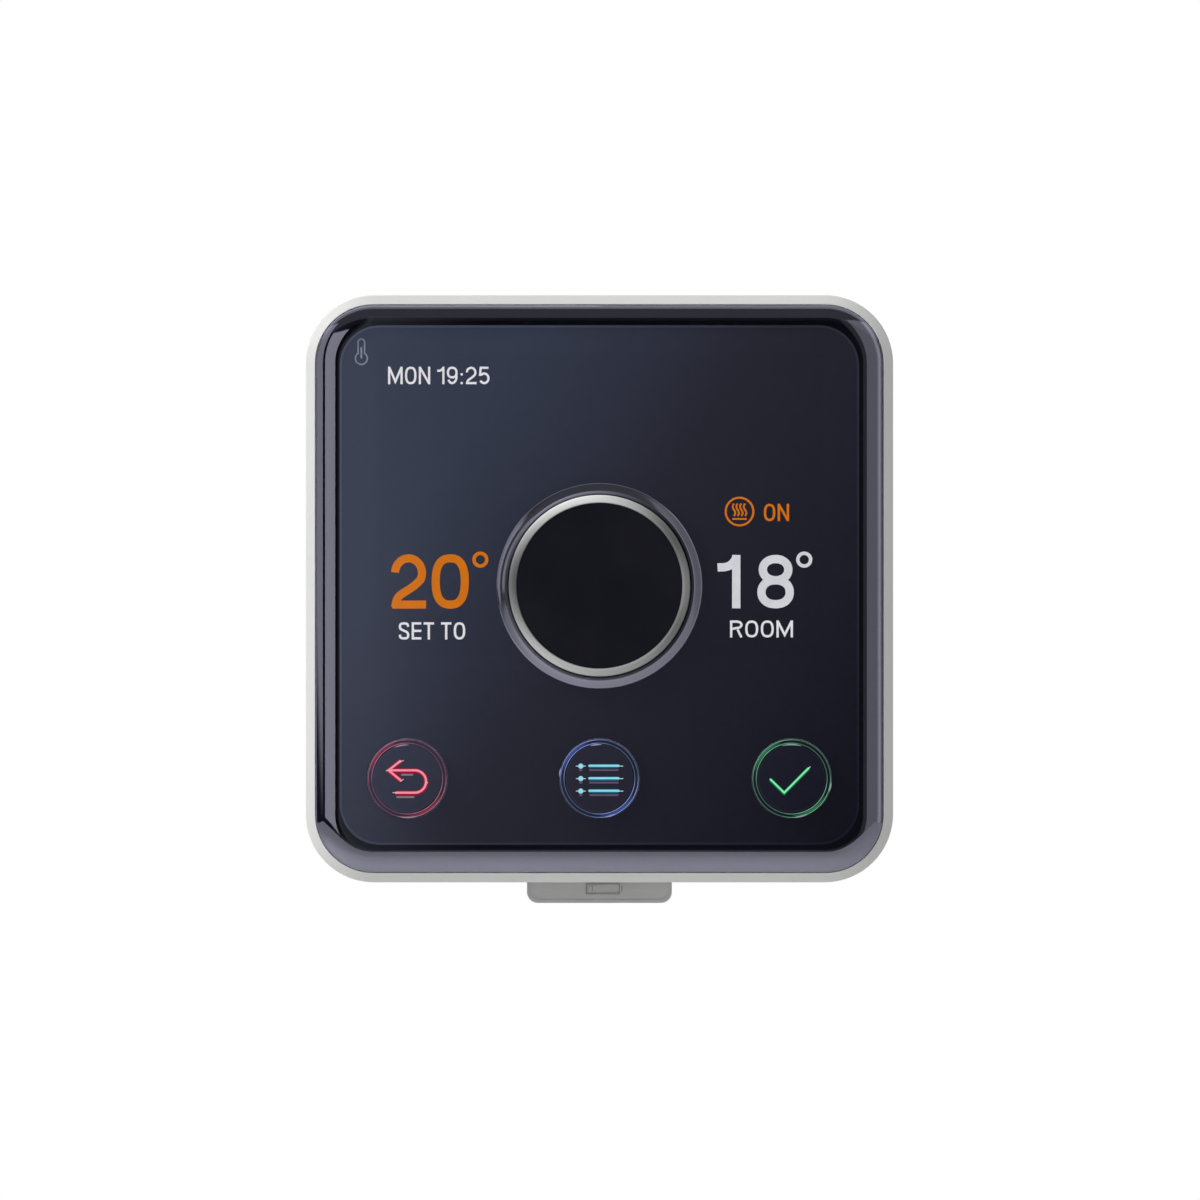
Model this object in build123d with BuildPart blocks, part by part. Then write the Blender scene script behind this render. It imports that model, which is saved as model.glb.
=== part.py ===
from build123d import *
import os

os.makedirs("parts", exist_ok=True)

# A square battery-powered wall thermostat: a plate on the wall, a case that hooks onto it, a gloss
# window with a turning dial and three buttons, and a battery tray that slides out underneath.
#
# Frame: the wall is the plane y = 0 and the front faces -Y. +Z is up and +X is to the right of
# somebody who faces it. The origin is on the wall, behind the middle of the case. All lengths are
# millimetres, and a depth is a distance out from the wall.

# Outline of the case, seen from the front
CASE_SIDE = 99.0
CASE_CORNER = 11.5
TRIM_WALL = 1.65
FIT_GAP = 0.05
SLIP_GAP = 0.1
LAYER_GAP = 0.2
NECK_SIDE = CASE_SIDE - 2 * (TRIM_WALL + FIT_GAP)
NECK_CORNER = CASE_CORNER - TRIM_WALL - FIT_GAP
NECK_WALL = 1.8
INNER_SIDE = NECK_SIDE - 2 * NECK_WALL
INNER_CORNER = NECK_CORNER - NECK_WALL

# Depths of the layers
PLATE_FRONT = 2.0
SKIRT_BACK = 0.5
BACK_WALL_REAR = 3.0
BACK_WALL_FRONT = 4.5
CHASSIS_BACK = 20.0
BOARD_BACK = 21.0
BOARD_FRONT = 22.0
HOUSING_LEDGE = 20.4
TRIM_BACK = 20.6
TRIM_FRONT = 25.5
TRIM_SLOPE_RUN = 1.52
TRIM_SLOPE_DROP = 0.88
TRIM_SLOPE_BACK = TRIM_FRONT - TRIM_SLOPE_DROP
TRIM_ROUND = 0.4
BACK_ROUND = 1.2
NECK_FRONT = 24.8
LENS_BACK = 25.0
LENS_FRONT = 27.0

# Wall plate, its screw holes and its hooks
PLATE_WIDTH = 88.0
PLATE_BOTTOM = -41.5
PLATE_TOP = 44.5
PLATE_CORNER = 6.0
PLATE_RIM = 1.6
PLATE_RIM_HEIGHT = 0.6
SCREW_SPACING = 60.3
SCREW_RADIUS = 2.2
SCREW_SLOT = 8.0
LIFT = 5.0
HOOK_X = 38.5
HOOK_LEVELS = (28.0, -22.0)
HOOK_WIDTH = 8.0
HOOK_STUB = 2.0
HOOK_FINGER = 4.0
HOOK_BACK = 4.7
HOOK_FRONT = 5.9
HOOK_SLACK = 0.5

# Air slots in the top and bottom walls
VENT_X = 34.2
VENT_DEPTH = 12.0
VENT_COUNT = 4
VENT_PITCH = 2.2
VENT_WIDTH = 1.2
VENT_LENGTH = 9.0
VENT_CUT = 5.0

# Battery tray: four AA cells lie across it, one above the other
CELL_RADIUS = 7.25
CELL_BODY = 49.2
CELL_NUB = 1.3
CELL_NUB_RADIUS = 2.75
CELL_PITCH = 15.1
CELL_COUNT = 4
CELL_ROUND = 0.6
TRAY_HALF = 28.4
TRAY_WALL = 1.2
TRAY_BACK = 4.8
TRAY_FRONT = 19.7
TRAY_END = 2.1
TRAY_RAIL = 1.6
TRAY_RIB = 4.0
TRAY_BOTTOM = -CASE_SIDE / 2
TRAY_TOP = TRAY_BOTTOM + TRAY_END + CELL_COUNT * CELL_PITCH + TRAY_RAIL
TRAY_MIDDLE = (TRAY_BACK + TRAY_FRONT) / 2
BAY_HALF = 29.0
BAY_TOP = TRAY_TOP + 0.7
BAY_WALL = 1.2
CELL_LEVELS = [TRAY_BOTTOM + TRAY_END + CELL_PITCH * (index + 0.5) for index in range(CELL_COUNT)]

# Pull tab under the tray
TAB_WIDTH = 24.6
TAB_DROP = 3.85
TAB_BACK = 8.0
TAB_FRONT = 18.8
TAB_CORNER = 1.85
TAB_RELIEF = 0.15
TONGUE_WIDTH = 16.0
TONGUE_HEIGHT = 1.2
TONGUE_DEPTH = 4.0
TAB_RIM_INSET = 0.35
TAB_RIM_WIDTH = 0.2
SIGN_LEVEL = TRAY_BOTTOM - 1.45
SIGN_X = 0.6
SIGN_WIDTH = 5.8
SIGN_HEIGHT = 1.9
SIGN_LINE = 0.25
SIGN_NUB_WIDTH = 0.6
SIGN_NUB_X = SIGN_X + (SIGN_WIDTH + SIGN_NUB_WIDTH) / 2
SIGN_CHARGE_X = -1.2
SIGN_CHARGE_WIDTH = 1.3
SIGN_CHARGE_HEIGHT = 0.9

# Battery contacts: flat plates meet the cells' nubs, and bowed leaf springs press on their other ends
PLATE_X = TRAY_HALF - TRAY_WALL
NUB_X = CELL_BODY / 2 + CELL_NUB
CONTACT_PLATE = 8.0
SPRING_WIDTH = 5.0
SPRING_FOOT = 5.0
SPRING_TOP = 0.8
SPRING_SHEET = 0.35
SPRING_INNER_FOOT = 3.6
SPRING_INNER_TOP = 0.5
SPRING_LIP = 0.3

# Contacts between the tray and the case, through two slots in the top of the bay
CONTACT_X = 20.0
CONTACT_WIDTH = 4.0
CONTACT_SLOT = 6.0
OUTLET_HEIGHT = 3.2
OUTLET_SHEET = 0.25
BAY_CONTACT_SHEET = 0.3
BAY_CONTACT_HEIGHT = 5.0
BAY_CONTACT_GAP = 0.2

# Window and the layers behind it
EDGE_RUN = 4.2
EDGE_DROP = 1.7
RIM_WASTE = 1.0
FILM_SIDE = INNER_SIDE - 2 * LAYER_GAP
WINDOW_CORNER = 1.5
WINDOW_WIDTH = 74.7
WINDOW_BOTTOM = -11.1
WINDOW_TOP = 39.6
WINDOW_LEVEL = (WINDOW_BOTTOM + WINDOW_TOP) / 2
DISPLAY_WIDTH = 19.6
DISPLAY_HEIGHT = 50.4
DISPLAY_X = 27.5
DISPLAY_BACK = 23.3
DISPLAY_FRONT = 24.7
DISPLAY_BEVEL = 0.15
CONNECTOR_LEVEL = -16.0
CONNECTOR_WIDTH = 9.0
CONNECTOR_HEIGHT = 3.0
CONNECTOR_THICKNESS = 1.3
TAIL_WIDTH = 7.0
TAIL_THICKNESS = 0.2
TAIL_BACK = DISPLAY_BACK - 0.4
TAIL_WINDOW_WIDTH = 11.0
TAIL_WINDOW_HEIGHT = 12.0

# Dial
DIAL_LEVEL = 0.5
COLLAR_RADIUS = 17.3
COLLAR_BORE = 15.9
COLLAR_TUBE = 16.5
COLLAR_FRONT = 28.0
COLLAR_ROUND = 0.6
DIAL_HOLE = 16.6
RING_RADIUS = 15.2
RING_BORE = 13.85
RING_BACK = 27.2
RING_FRONT = 30.0
RING_BEVEL = 0.3
CAP_BACK = 29.0
CAP_FRONT = 29.75
KNOB_BACK = 26.2
KNOB_STEP = 0.1
KNOB_HOLLOW = 12.4
KNOB_HOLLOW_FRONT = 28.0
HUB_RADIUS = 5.0
HUB_BACK = 26.7
SHAFT_RADIUS = 3.0
SHAFT_BACK = 23.45
SHAFT_FRONT = 28.5
SHAFT_FLAT = 2.3
SHAFT_CLEARANCE = 0.05
ENCODER_SIDE = 12.0
ENCODER_CORNER = 0.6
ENCODER_FRONT = 24.8
BUSHING_RADIUS = 4.2
BUSHING_FRONT = 26.0
PLUNGER_BACK = 22.65
PLUNGER_FRONT = 23.4

# Buttons
BUTTON_PITCH = 32.3
BUTTON_LEVEL = -31.9
BUTTON_RADIUS = 5.75
BUTTON_BACK = 24.2
BUTTON_ROUND = 0.25
SKIRT_BORE = 4.9
SKIRT_REAR = 22.9
LUG_REACH = 6.5
LUG_WIDTH = 3.0
LUG_FRONT = 23.7
LUG_CLEARANCE = 0.4
GUIDE_BORE = 5.9
GUIDE_RADIUS = 6.6
GUIDE_FLANGE = 7.6
GUIDE_BACK = 23.9
GUIDE_SHOULDER = 24.7
GUIDE_ROUND = 0.15
LAMP_X = 6.35
LAMP_WIDTH = 0.8
LAMP_HEIGHT = 1.2
LAMP_THICKNESS = 0.7
BUTTON_HOLE = 6.65
SWITCH_SIDE = 5.2
SWITCH_FRONT = 23.5
SWITCH_STEM_RADIUS = 1.5
BUTTONS = (("back", -BUTTON_PITCH), ("menu", 0.0), ("confirm", BUTTON_PITCH))

# Fasteners inside the case
CORNER_SCREW = 40.5
CORNER_BOSS = 3.2
BOARD_SCREWS = ((-34.5, 43.0), (34.5, 43.0), (-34.5, -19.5), (34.5, -19.5))
CORNER_SCREWS = [(x, z) for x in (-CORNER_SCREW, CORNER_SCREW) for z in (-CORNER_SCREW, CORNER_SCREW)]
BOSS_HOLE_DEPTH = 9.0
PILLAR_RADIUS = 2.2
PILLAR_HEIGHT = 3.0
PILOT_DEPTH = 2.5
THREAD_RADIUS = 1.0
THREAD_CLEARANCE = 0.2
SCREW_LENGTH = 3.0
HEAD_RADIUS = 1.9
HEAD_HEIGHT = 1.2
HEAD_FLOOR = 0.4
HEAD_CLEARANCE = 0.5
CROSS_LENGTH = 1.8
CROSS_WIDTH = 0.5

# Circuit board, the windows in the chassis behind it, and the holder in front of it
BOARD_GAP = 0.8
BOARD_NOTCH = 4.0
HOLDER_GAP = 0.3
CHIP_X = 38.0
CHIP_BEVEL = 0.15
CHIP_WINDOW_LEVEL = 6.0
CHIP_WINDOW_WIDTH = 13.0
CHIP_WINDOW_HEIGHT = 38.0
SENSOR_LEVEL = -40.0
SENSOR_WINDOW_WIDTH = 6.0
SENSOR_WINDOW_HEIGHT = 4.0
RADIO_THICKNESS = 0.8
CAN_LEVEL = 8.5
CAN_WIDTH = 10.0
CAN_HEIGHT = 11.0
CAN_CORNER = 0.6
CAN_THICKNESS = 2.0
CAN_ROUND = 0.3
CAPACITOR_SPACING = 6.4
CAPACITOR_LEVEL = -8.0
CAPACITOR_RADIUS = 2.9
CAPACITOR_HEIGHT = 7.0
CAPACITOR_ROUND = 0.4

# Each chip's name, middle, width, height and thickness
CHIPS = (
    ("processor", (-CHIP_X, 12.0), 9.0, 9.0, 1.2),
    ("memory_chip", (-CHIP_X, 1.0), 5.0, 6.0, 0.9),
    ("voltage_coil", (CHIP_X, -7.0), 5.0, 5.0, 3.0),
    ("radio_board", (CHIP_X, 11.0), 11.0, 17.0, RADIO_THICKNESS),
    ("temperature_sensor", (CHIP_X, SENSOR_LEVEL), 2.0, 1.2, 1.0),
)

BOTTOM_CENTRE = (Align.CENTER, Align.MIN)
TOP_CENTRE = (Align.CENTER, Align.MAX)
HOOK_SPOTS = [(x, z) for x in (-HOOK_X, HOOK_X) for z in HOOK_LEVELS]
BUTTON_SPOTS = [(x, BUTTON_LEVEL) for name, x in BUTTONS]
DISPLAY_SPOTS = [(x, WINDOW_LEVEL) for x in (-DISPLAY_X, DISPLAY_X)]
CONNECTOR_SPOTS = [(x, CONNECTOR_LEVEL) for x in (-DISPLAY_X, DISPLAY_X)]
DIAL_SPOT = (0, DIAL_LEVEL)
DIAL_AXIS = Axis((0, 0, DIAL_LEVEL), (0, 1, 0))


def at_depth(depth):
    """The plane at that distance from the wall, facing the room, with X across and Z up."""
    return Plane(origin=(0, -depth, 0), x_dir=(1, 0, 0), z_dir=(0, -1, 0))


def ring_points(inner, outer, back, front):
    """The four corners of a ring's section, as radius and -depth, for a revolve about the dial."""
    return [(inner, -back), (outer, -back), (outer, -front), (inner, -front)]


# ---------------------------------------------------------------- wall plate

with BuildPart() as wall_plate:
    with BuildSketch(at_depth(0)):
        with Locations((0, PLATE_BOTTOM)):
            Rectangle(PLATE_WIDTH, PLATE_TOP - PLATE_BOTTOM, align=BOTTOM_CENTRE)
        fillet(vertices(), radius=PLATE_CORNER)
        with GridLocations(SCREW_SPACING, 0, 2, 1):
            SlotOverall(SCREW_SLOT, 2 * SCREW_RADIUS, mode=Mode.SUBTRACT)
        with GridLocations(0, SCREW_SPACING, 1, 2):
            Circle(SCREW_RADIUS, mode=Mode.SUBTRACT)
    extrude(amount=PLATE_FRONT)
    with BuildSketch(at_depth(PLATE_FRONT)):
        with Locations((0, PLATE_BOTTOM)):
            Rectangle(PLATE_WIDTH, PLATE_TOP - PLATE_BOTTOM, align=BOTTOM_CENTRE)
        fillet(vertices(), radius=PLATE_CORNER)
        offset(amount=-PLATE_RIM, mode=Mode.SUBTRACT)
    extrude(amount=PLATE_RIM_HEIGHT)
    with BuildSketch(at_depth(PLATE_FRONT)):
        with Locations(*HOOK_SPOTS):
            Rectangle(HOOK_WIDTH, HOOK_STUB, align=TOP_CENTRE)
    extrude(amount=HOOK_FRONT - PLATE_FRONT)
    with BuildSketch(at_depth(HOOK_BACK)):
        with Locations(*HOOK_SPOTS):
            Rectangle(HOOK_WIDTH, HOOK_FINGER, align=BOTTOM_CENTRE)
    extrude(amount=HOOK_FRONT - HOOK_BACK)
wall_plate.part.label = "wall_plate"
export_step(wall_plate.part, "parts/wall_plate.step")

# ---------------------------------------------------------------- case shells

with BuildPart() as rear_housing:
    with BuildSketch(at_depth(SKIRT_BACK)):
        RectangleRounded(CASE_SIDE, CASE_SIDE, CASE_CORNER)
    extrude(amount=HOUSING_LEDGE - SKIRT_BACK)
    fillet(edges().group_by(Axis.Y)[-1], radius=BACK_ROUND)
    with BuildSketch(at_depth(HOUSING_LEDGE)):
        RectangleRounded(NECK_SIDE, NECK_SIDE, NECK_CORNER)
    extrude(amount=NECK_FRONT - HOUSING_LEDGE)
    # the recess that takes the wall plate, and the hollow inside
    with BuildSketch(at_depth(SKIRT_BACK)):
        RectangleRounded(NECK_SIDE, NECK_SIDE, NECK_CORNER)
    extrude(amount=BACK_WALL_REAR - SKIRT_BACK, mode=Mode.SUBTRACT)
    with BuildSketch(at_depth(BACK_WALL_FRONT)):
        RectangleRounded(INNER_SIDE, INNER_SIDE, INNER_CORNER)
    extrude(amount=NECK_FRONT - BACK_WALL_FRONT, mode=Mode.SUBTRACT)
    # the walls of the battery bay, and its mouth through the bottom of the case
    with BuildSketch(at_depth(BACK_WALL_FRONT)):
        with Locations((0, -INNER_SIDE / 2)):
            Rectangle(
                2 * (BAY_HALF + BAY_WALL), BAY_TOP + BAY_WALL + INNER_SIDE / 2, align=BOTTOM_CENTRE
            )
    extrude(amount=CHASSIS_BACK - BACK_WALL_FRONT)
    with BuildSketch(at_depth(BACK_WALL_FRONT)):
        with Locations((0, -CASE_SIDE / 2)):
            Rectangle(2 * BAY_HALF, BAY_TOP + CASE_SIDE / 2, align=BOTTOM_CENTRE)
    extrude(amount=CHASSIS_BACK - BACK_WALL_FRONT, mode=Mode.SUBTRACT)
    # slots through the top of the bay for the tray's outlet contacts
    with BuildSketch(at_depth(BACK_WALL_FRONT)):
        with Locations((-CONTACT_X, BAY_TOP), (CONTACT_X, BAY_TOP)):
            Rectangle(CONTACT_SLOT, BAY_WALL, align=BOTTOM_CENTRE)
    extrude(amount=CHASSIS_BACK - BACK_WALL_FRONT, mode=Mode.SUBTRACT)
    # slots that drop over the wall plate's hooks
    with BuildSketch(at_depth(BACK_WALL_REAR)):
        with Locations(*HOOK_SPOTS):
            Rectangle(HOOK_WIDTH + 2 * HOOK_SLACK, HOOK_STUB + LIFT + HOOK_SLACK, align=TOP_CENTRE)
    extrude(amount=BACK_WALL_FRONT - BACK_WALL_REAR, mode=Mode.SUBTRACT)
    # screw bosses in the corners
    with BuildSketch(at_depth(BACK_WALL_FRONT)):
        with Locations(*CORNER_SCREWS):
            Circle(CORNER_BOSS)
    extrude(amount=CHASSIS_BACK - BACK_WALL_FRONT)
    with BuildSketch(at_depth(CHASSIS_BACK - BOSS_HOLE_DEPTH)):
        with Locations(*CORNER_SCREWS):
            Circle(THREAD_RADIUS)
    extrude(amount=BOSS_HOLE_DEPTH, mode=Mode.SUBTRACT)
    # air slots above and below, on both sides of the battery bay
    for side in (-1, 1):
        for level in (-1, 1):
            with Locations((side * VENT_X, -VENT_DEPTH, level * (CASE_SIDE + INNER_SIDE) / 4)):
                with GridLocations(VENT_PITCH, 0, VENT_COUNT, 1):
                    Box(VENT_WIDTH, VENT_LENGTH, VENT_CUT, mode=Mode.SUBTRACT)
rear_housing.part.label = "rear_housing"
export_step(rear_housing.part, "parts/rear_housing.step")

with BuildPart() as trim_frame:
    with BuildSketch(at_depth(TRIM_BACK)):
        RectangleRounded(CASE_SIDE, CASE_SIDE, CASE_CORNER)
        offset(amount=-TRIM_WALL, mode=Mode.SUBTRACT)
    extrude(amount=TRIM_FRONT - TRIM_BACK)
    trim_face = faces().sort_by(Axis.Y)[0]
    trim_outline = trim_face.outer_wire().edges()
    chamfer(trim_outline, length=TRIM_SLOPE_RUN, length2=TRIM_SLOPE_DROP, reference=trim_face)
    fillet(edges().filter_by_position(Axis.Y, -TRIM_SLOPE_BACK, -TRIM_SLOPE_BACK), radius=TRIM_ROUND)
trim_frame.part.label = "trim_frame"
export_step(trim_frame.part, "parts/trim_frame.step")

# ---------------------------------------------------------------- window

# The window's rim falls away in a quarter ellipse. The waste outside that curve is swept round.
with BuildPart() as rim_waste:
    with BuildLine(at_depth(LENS_FRONT - EDGE_DROP)) as rim_path:
        half = NECK_SIDE / 2
        straight = half - NECK_CORNER
        Line((0, -half), (straight, -half))
        CenterArc((straight, -straight), NECK_CORNER, -90, 90)
        Line((half, -straight), (half, straight))
        CenterArc((straight, straight), NECK_CORNER, 0, 90)
        Line((straight, half), (-straight, half))
        CenterArc((-straight, straight), NECK_CORNER, 90, 90)
        Line((-half, straight), (-half, -straight))
        CenterArc((-straight, -straight), NECK_CORNER, 180, 90)
        Line((-straight, -half), (0, -half))
    rim_start = Plane(origin=(0, EDGE_DROP - LENS_FRONT, -half), x_dir=(0, -1, 0), z_dir=(-1, 0, 0))
    with BuildSketch(rim_start):
        with BuildLine():
            waste = EDGE_DROP + RIM_WASTE
            Polyline((0, 0), (0, -RIM_WASTE), (waste, -RIM_WASTE), (waste, EDGE_RUN), (EDGE_DROP, EDGE_RUN))
            EllipticalCenterArc((0, EDGE_RUN), EDGE_DROP, EDGE_RUN, -90, arc_size=90)
        make_face()
    sweep(path=rim_path.wires()[0])

with BuildPart() as front_lens:
    with BuildSketch(at_depth(LENS_BACK)):
        RectangleRounded(NECK_SIDE, NECK_SIDE, NECK_CORNER)
        with Locations(DIAL_SPOT):
            Circle(DIAL_HOLE, mode=Mode.SUBTRACT)
        with Locations(*BUTTON_SPOTS):
            Circle(BUTTON_HOLE, mode=Mode.SUBTRACT)
    extrude(amount=LENS_FRONT - LENS_BACK)
    add(rim_waste.part, mode=Mode.SUBTRACT)
front_lens.part.label = "front_lens"
export_step(front_lens.part, "parts/front_lens.step")

with BuildPart() as lens_gasket:
    with BuildSketch(at_depth(NECK_FRONT)):
        RectangleRounded(NECK_SIDE - 2 * LAYER_GAP, NECK_SIDE - 2 * LAYER_GAP, NECK_CORNER - LAYER_GAP)
        RectangleRounded(INNER_SIDE, INNER_SIDE, INNER_CORNER, mode=Mode.SUBTRACT)
    extrude(amount=LENS_BACK - NECK_FRONT)
lens_gasket.part.label = "lens_gasket"
export_step(lens_gasket.part, "parts/lens_gasket.step")

with BuildPart() as mirror_film:
    with BuildSketch(at_depth(NECK_FRONT)):
        RectangleRounded(FILM_SIDE, FILM_SIDE, INNER_CORNER - LAYER_GAP)
        with Locations((0, WINDOW_LEVEL)):
            RectangleRounded(WINDOW_WIDTH, WINDOW_TOP - WINDOW_BOTTOM, WINDOW_CORNER, mode=Mode.SUBTRACT)
        with Locations(DIAL_SPOT):
            Circle(DIAL_HOLE, mode=Mode.SUBTRACT)
        with Locations(*BUTTON_SPOTS):
            Circle(BUTTON_HOLE, mode=Mode.SUBTRACT)
    extrude(amount=LENS_BACK - NECK_FRONT)
mirror_film.part.label = "mirror_film"
export_step(mirror_film.part, "parts/mirror_film.step")

# ---------------------------------------------------------------- chassis, circuit board, holder

with BuildPart() as chassis:
    with BuildSketch(at_depth(CHASSIS_BACK)):
        RectangleRounded(FILM_SIDE, FILM_SIDE, INNER_CORNER - LAYER_GAP)
        with Locations(*CORNER_SCREWS):
            Circle(THREAD_RADIUS + THREAD_CLEARANCE, mode=Mode.SUBTRACT)
        with Locations((-CHIP_X, CHIP_WINDOW_LEVEL), (CHIP_X, CHIP_WINDOW_LEVEL)):
            Rectangle(CHIP_WINDOW_WIDTH, CHIP_WINDOW_HEIGHT, mode=Mode.SUBTRACT)
        with Locations((CHIP_X, SENSOR_LEVEL)):
            Rectangle(SENSOR_WINDOW_WIDTH, SENSOR_WINDOW_HEIGHT, mode=Mode.SUBTRACT)
    extrude(amount=BOARD_BACK - CHASSIS_BACK)
    with BuildSketch(at_depth(CHASSIS_BACK - PILLAR_HEIGHT)):
        with Locations(*BOARD_SCREWS):
            Circle(PILLAR_RADIUS)
    extrude(amount=PILLAR_HEIGHT)
    with BuildSketch(at_depth(CHASSIS_BACK - PILOT_DEPTH)):
        with Locations(*BOARD_SCREWS):
            Circle(THREAD_RADIUS)
    extrude(amount=BOARD_BACK - CHASSIS_BACK + PILOT_DEPTH, mode=Mode.SUBTRACT)
chassis.part.label = "chassis"
export_step(chassis.part, "parts/chassis.step")

with BuildPart() as main_board:
    with BuildSketch(at_depth(BOARD_BACK)):
        RectangleRounded(INNER_SIDE - 2 * BOARD_GAP, INNER_SIDE - 2 * BOARD_GAP, INNER_CORNER - BOARD_GAP)
        with Locations(*CORNER_SCREWS):
            Circle(BOARD_NOTCH, mode=Mode.SUBTRACT)
        with Locations(*BOARD_SCREWS):
            Circle(THREAD_RADIUS + FIT_GAP, mode=Mode.SUBTRACT)
    extrude(amount=BOARD_FRONT - BOARD_BACK)
main_board.part.label = "main_board"
export_step(main_board.part, "parts/main_board.step")

with BuildPart() as display_holder:
    with BuildSketch(at_depth(BOARD_FRONT)):
        RectangleRounded(INNER_SIDE - 2 * HOLDER_GAP, INNER_SIDE - 2 * HOLDER_GAP, INNER_CORNER - HOLDER_GAP)
        with Locations(DIAL_SPOT):
            Circle(COLLAR_TUBE + SLIP_GAP, mode=Mode.SUBTRACT)
        with Locations(*DISPLAY_SPOTS):
            Rectangle(DISPLAY_WIDTH + 2 * SLIP_GAP, DISPLAY_HEIGHT + 2 * SLIP_GAP, mode=Mode.SUBTRACT)
        with Locations(*CONNECTOR_SPOTS):
            Rectangle(TAIL_WINDOW_WIDTH, TAIL_WINDOW_HEIGHT, mode=Mode.SUBTRACT)
        with Locations(*BUTTON_SPOTS):
            Circle(LUG_REACH + LUG_CLEARANCE, mode=Mode.SUBTRACT)
        with Locations(*CORNER_SCREWS, *BOARD_SCREWS):
            Circle(HEAD_RADIUS + HEAD_CLEARANCE, mode=Mode.SUBTRACT)
    extrude(amount=NECK_FRONT - BOARD_FRONT)
    with BuildSketch(at_depth(GUIDE_BACK)):
        with Locations(*BUTTON_SPOTS):
            Circle(GUIDE_FLANGE + FIT_GAP)
    extrude(amount=NECK_FRONT - GUIDE_BACK, mode=Mode.SUBTRACT)
display_holder.part.label = "display_holder"
export_step(display_holder.part, "parts/display_holder.step")

for screws, spots, seat in (
    ("chassis_screws", CORNER_SCREWS, BOARD_BACK),
    ("board_screws", BOARD_SCREWS, BOARD_FRONT),
):
    with BuildPart() as screw_group:
        with BuildSketch(at_depth(seat - SCREW_LENGTH)):
            with Locations(*spots):
                Circle(THREAD_RADIUS)
        extrude(amount=SCREW_LENGTH)
        with BuildSketch(at_depth(seat)):
            with Locations(*spots):
                Circle(HEAD_RADIUS)
                Rectangle(CROSS_LENGTH, CROSS_WIDTH, mode=Mode.SUBTRACT)
                Rectangle(CROSS_WIDTH, CROSS_LENGTH, mode=Mode.SUBTRACT)
        extrude(amount=HEAD_HEIGHT)
        with BuildSketch(at_depth(seat)):
            with Locations(*spots):
                Circle(HEAD_RADIUS)
        extrude(amount=HEAD_FLOOR)
    screw_group.part.label = screws
    export_step(screw_group.part, f"parts/{screws}.step")

# ---------------------------------------------------------------- displays

for side, x in (("left", -DISPLAY_X), ("right", DISPLAY_X)):
    with BuildPart() as backlight:
        with BuildSketch(at_depth(BOARD_FRONT + SLIP_GAP)):
            with Locations((x, WINDOW_LEVEL)):
                Rectangle(DISPLAY_WIDTH, DISPLAY_HEIGHT)
        extrude(amount=DISPLAY_BACK - BOARD_FRONT - SLIP_GAP)
    backlight.part.label = f"{side}_backlight"
    export_step(backlight.part, f"parts/{side}_backlight.step")

    with BuildPart() as display:
        with BuildSketch(at_depth(DISPLAY_BACK)):
            with Locations((x, WINDOW_LEVEL)):
                Rectangle(DISPLAY_WIDTH, DISPLAY_HEIGHT)
        extrude(amount=DISPLAY_FRONT - DISPLAY_BACK)
        chamfer(edges().group_by(Axis.Y)[0], length=DISPLAY_BEVEL)
    display.part.label = f"{side}_display"
    export_step(display.part, f"parts/{side}_display.step")

with BuildPart() as display_connectors:
    with BuildSketch(at_depth(BOARD_FRONT)):
        with Locations(*CONNECTOR_SPOTS):
            Rectangle(CONNECTOR_WIDTH, CONNECTOR_HEIGHT)
    extrude(amount=CONNECTOR_THICKNESS)
display_connectors.part.label = "display_connectors"
export_step(display_connectors.part, "parts/display_connectors.step")

with BuildPart() as display_tails:
    tail_foot = CONNECTOR_LEVEL + CONNECTOR_HEIGHT / 2
    with BuildSketch(at_depth(TAIL_BACK)):
        with Locations((-DISPLAY_X, tail_foot), (DISPLAY_X, tail_foot)):
            Rectangle(TAIL_WIDTH, WINDOW_LEVEL - DISPLAY_HEIGHT / 2 - tail_foot, align=BOTTOM_CENTRE)
    extrude(amount=TAIL_THICKNESS)
display_tails.part.label = "display_tails"
export_step(display_tails.part, "parts/display_tails.step")

# ---------------------------------------------------------------- chips on the back of the board

for chip, spot, width, height, thickness in CHIPS:
    with BuildPart() as chip_body:
        with BuildSketch(at_depth(BOARD_BACK - thickness)):
            with Locations(spot):
                Rectangle(width, height)
        extrude(amount=thickness)
        chamfer(edges().group_by(Axis.Y)[-1], length=CHIP_BEVEL)
    chip_body.part.label = chip
    export_step(chip_body.part, f"parts/{chip}.step")

with BuildPart() as radio_can:
    with BuildSketch(at_depth(BOARD_BACK - RADIO_THICKNESS - CAN_THICKNESS)):
        with Locations((CHIP_X, CAN_LEVEL)):
            RectangleRounded(CAN_WIDTH, CAN_HEIGHT, CAN_CORNER)
    extrude(amount=CAN_THICKNESS)
    fillet(edges().group_by(Axis.Y)[-1], radius=CAN_ROUND)
radio_can.part.label = "radio_can"
export_step(radio_can.part, "parts/radio_can.step")

with BuildPart() as capacitors:
    with BuildSketch(at_depth(BOARD_BACK - CAPACITOR_HEIGHT)):
        with Locations((-CHIP_X, CAPACITOR_LEVEL)):
            with GridLocations(CAPACITOR_SPACING, 0, 2, 1):
                Circle(CAPACITOR_RADIUS)
    extrude(amount=CAPACITOR_HEIGHT)
    fillet(edges().group_by(Axis.Y)[-1], radius=CAPACITOR_ROUND)
capacitors.part.label = "capacitors"
export_step(capacitors.part, "parts/capacitors.step")

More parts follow.
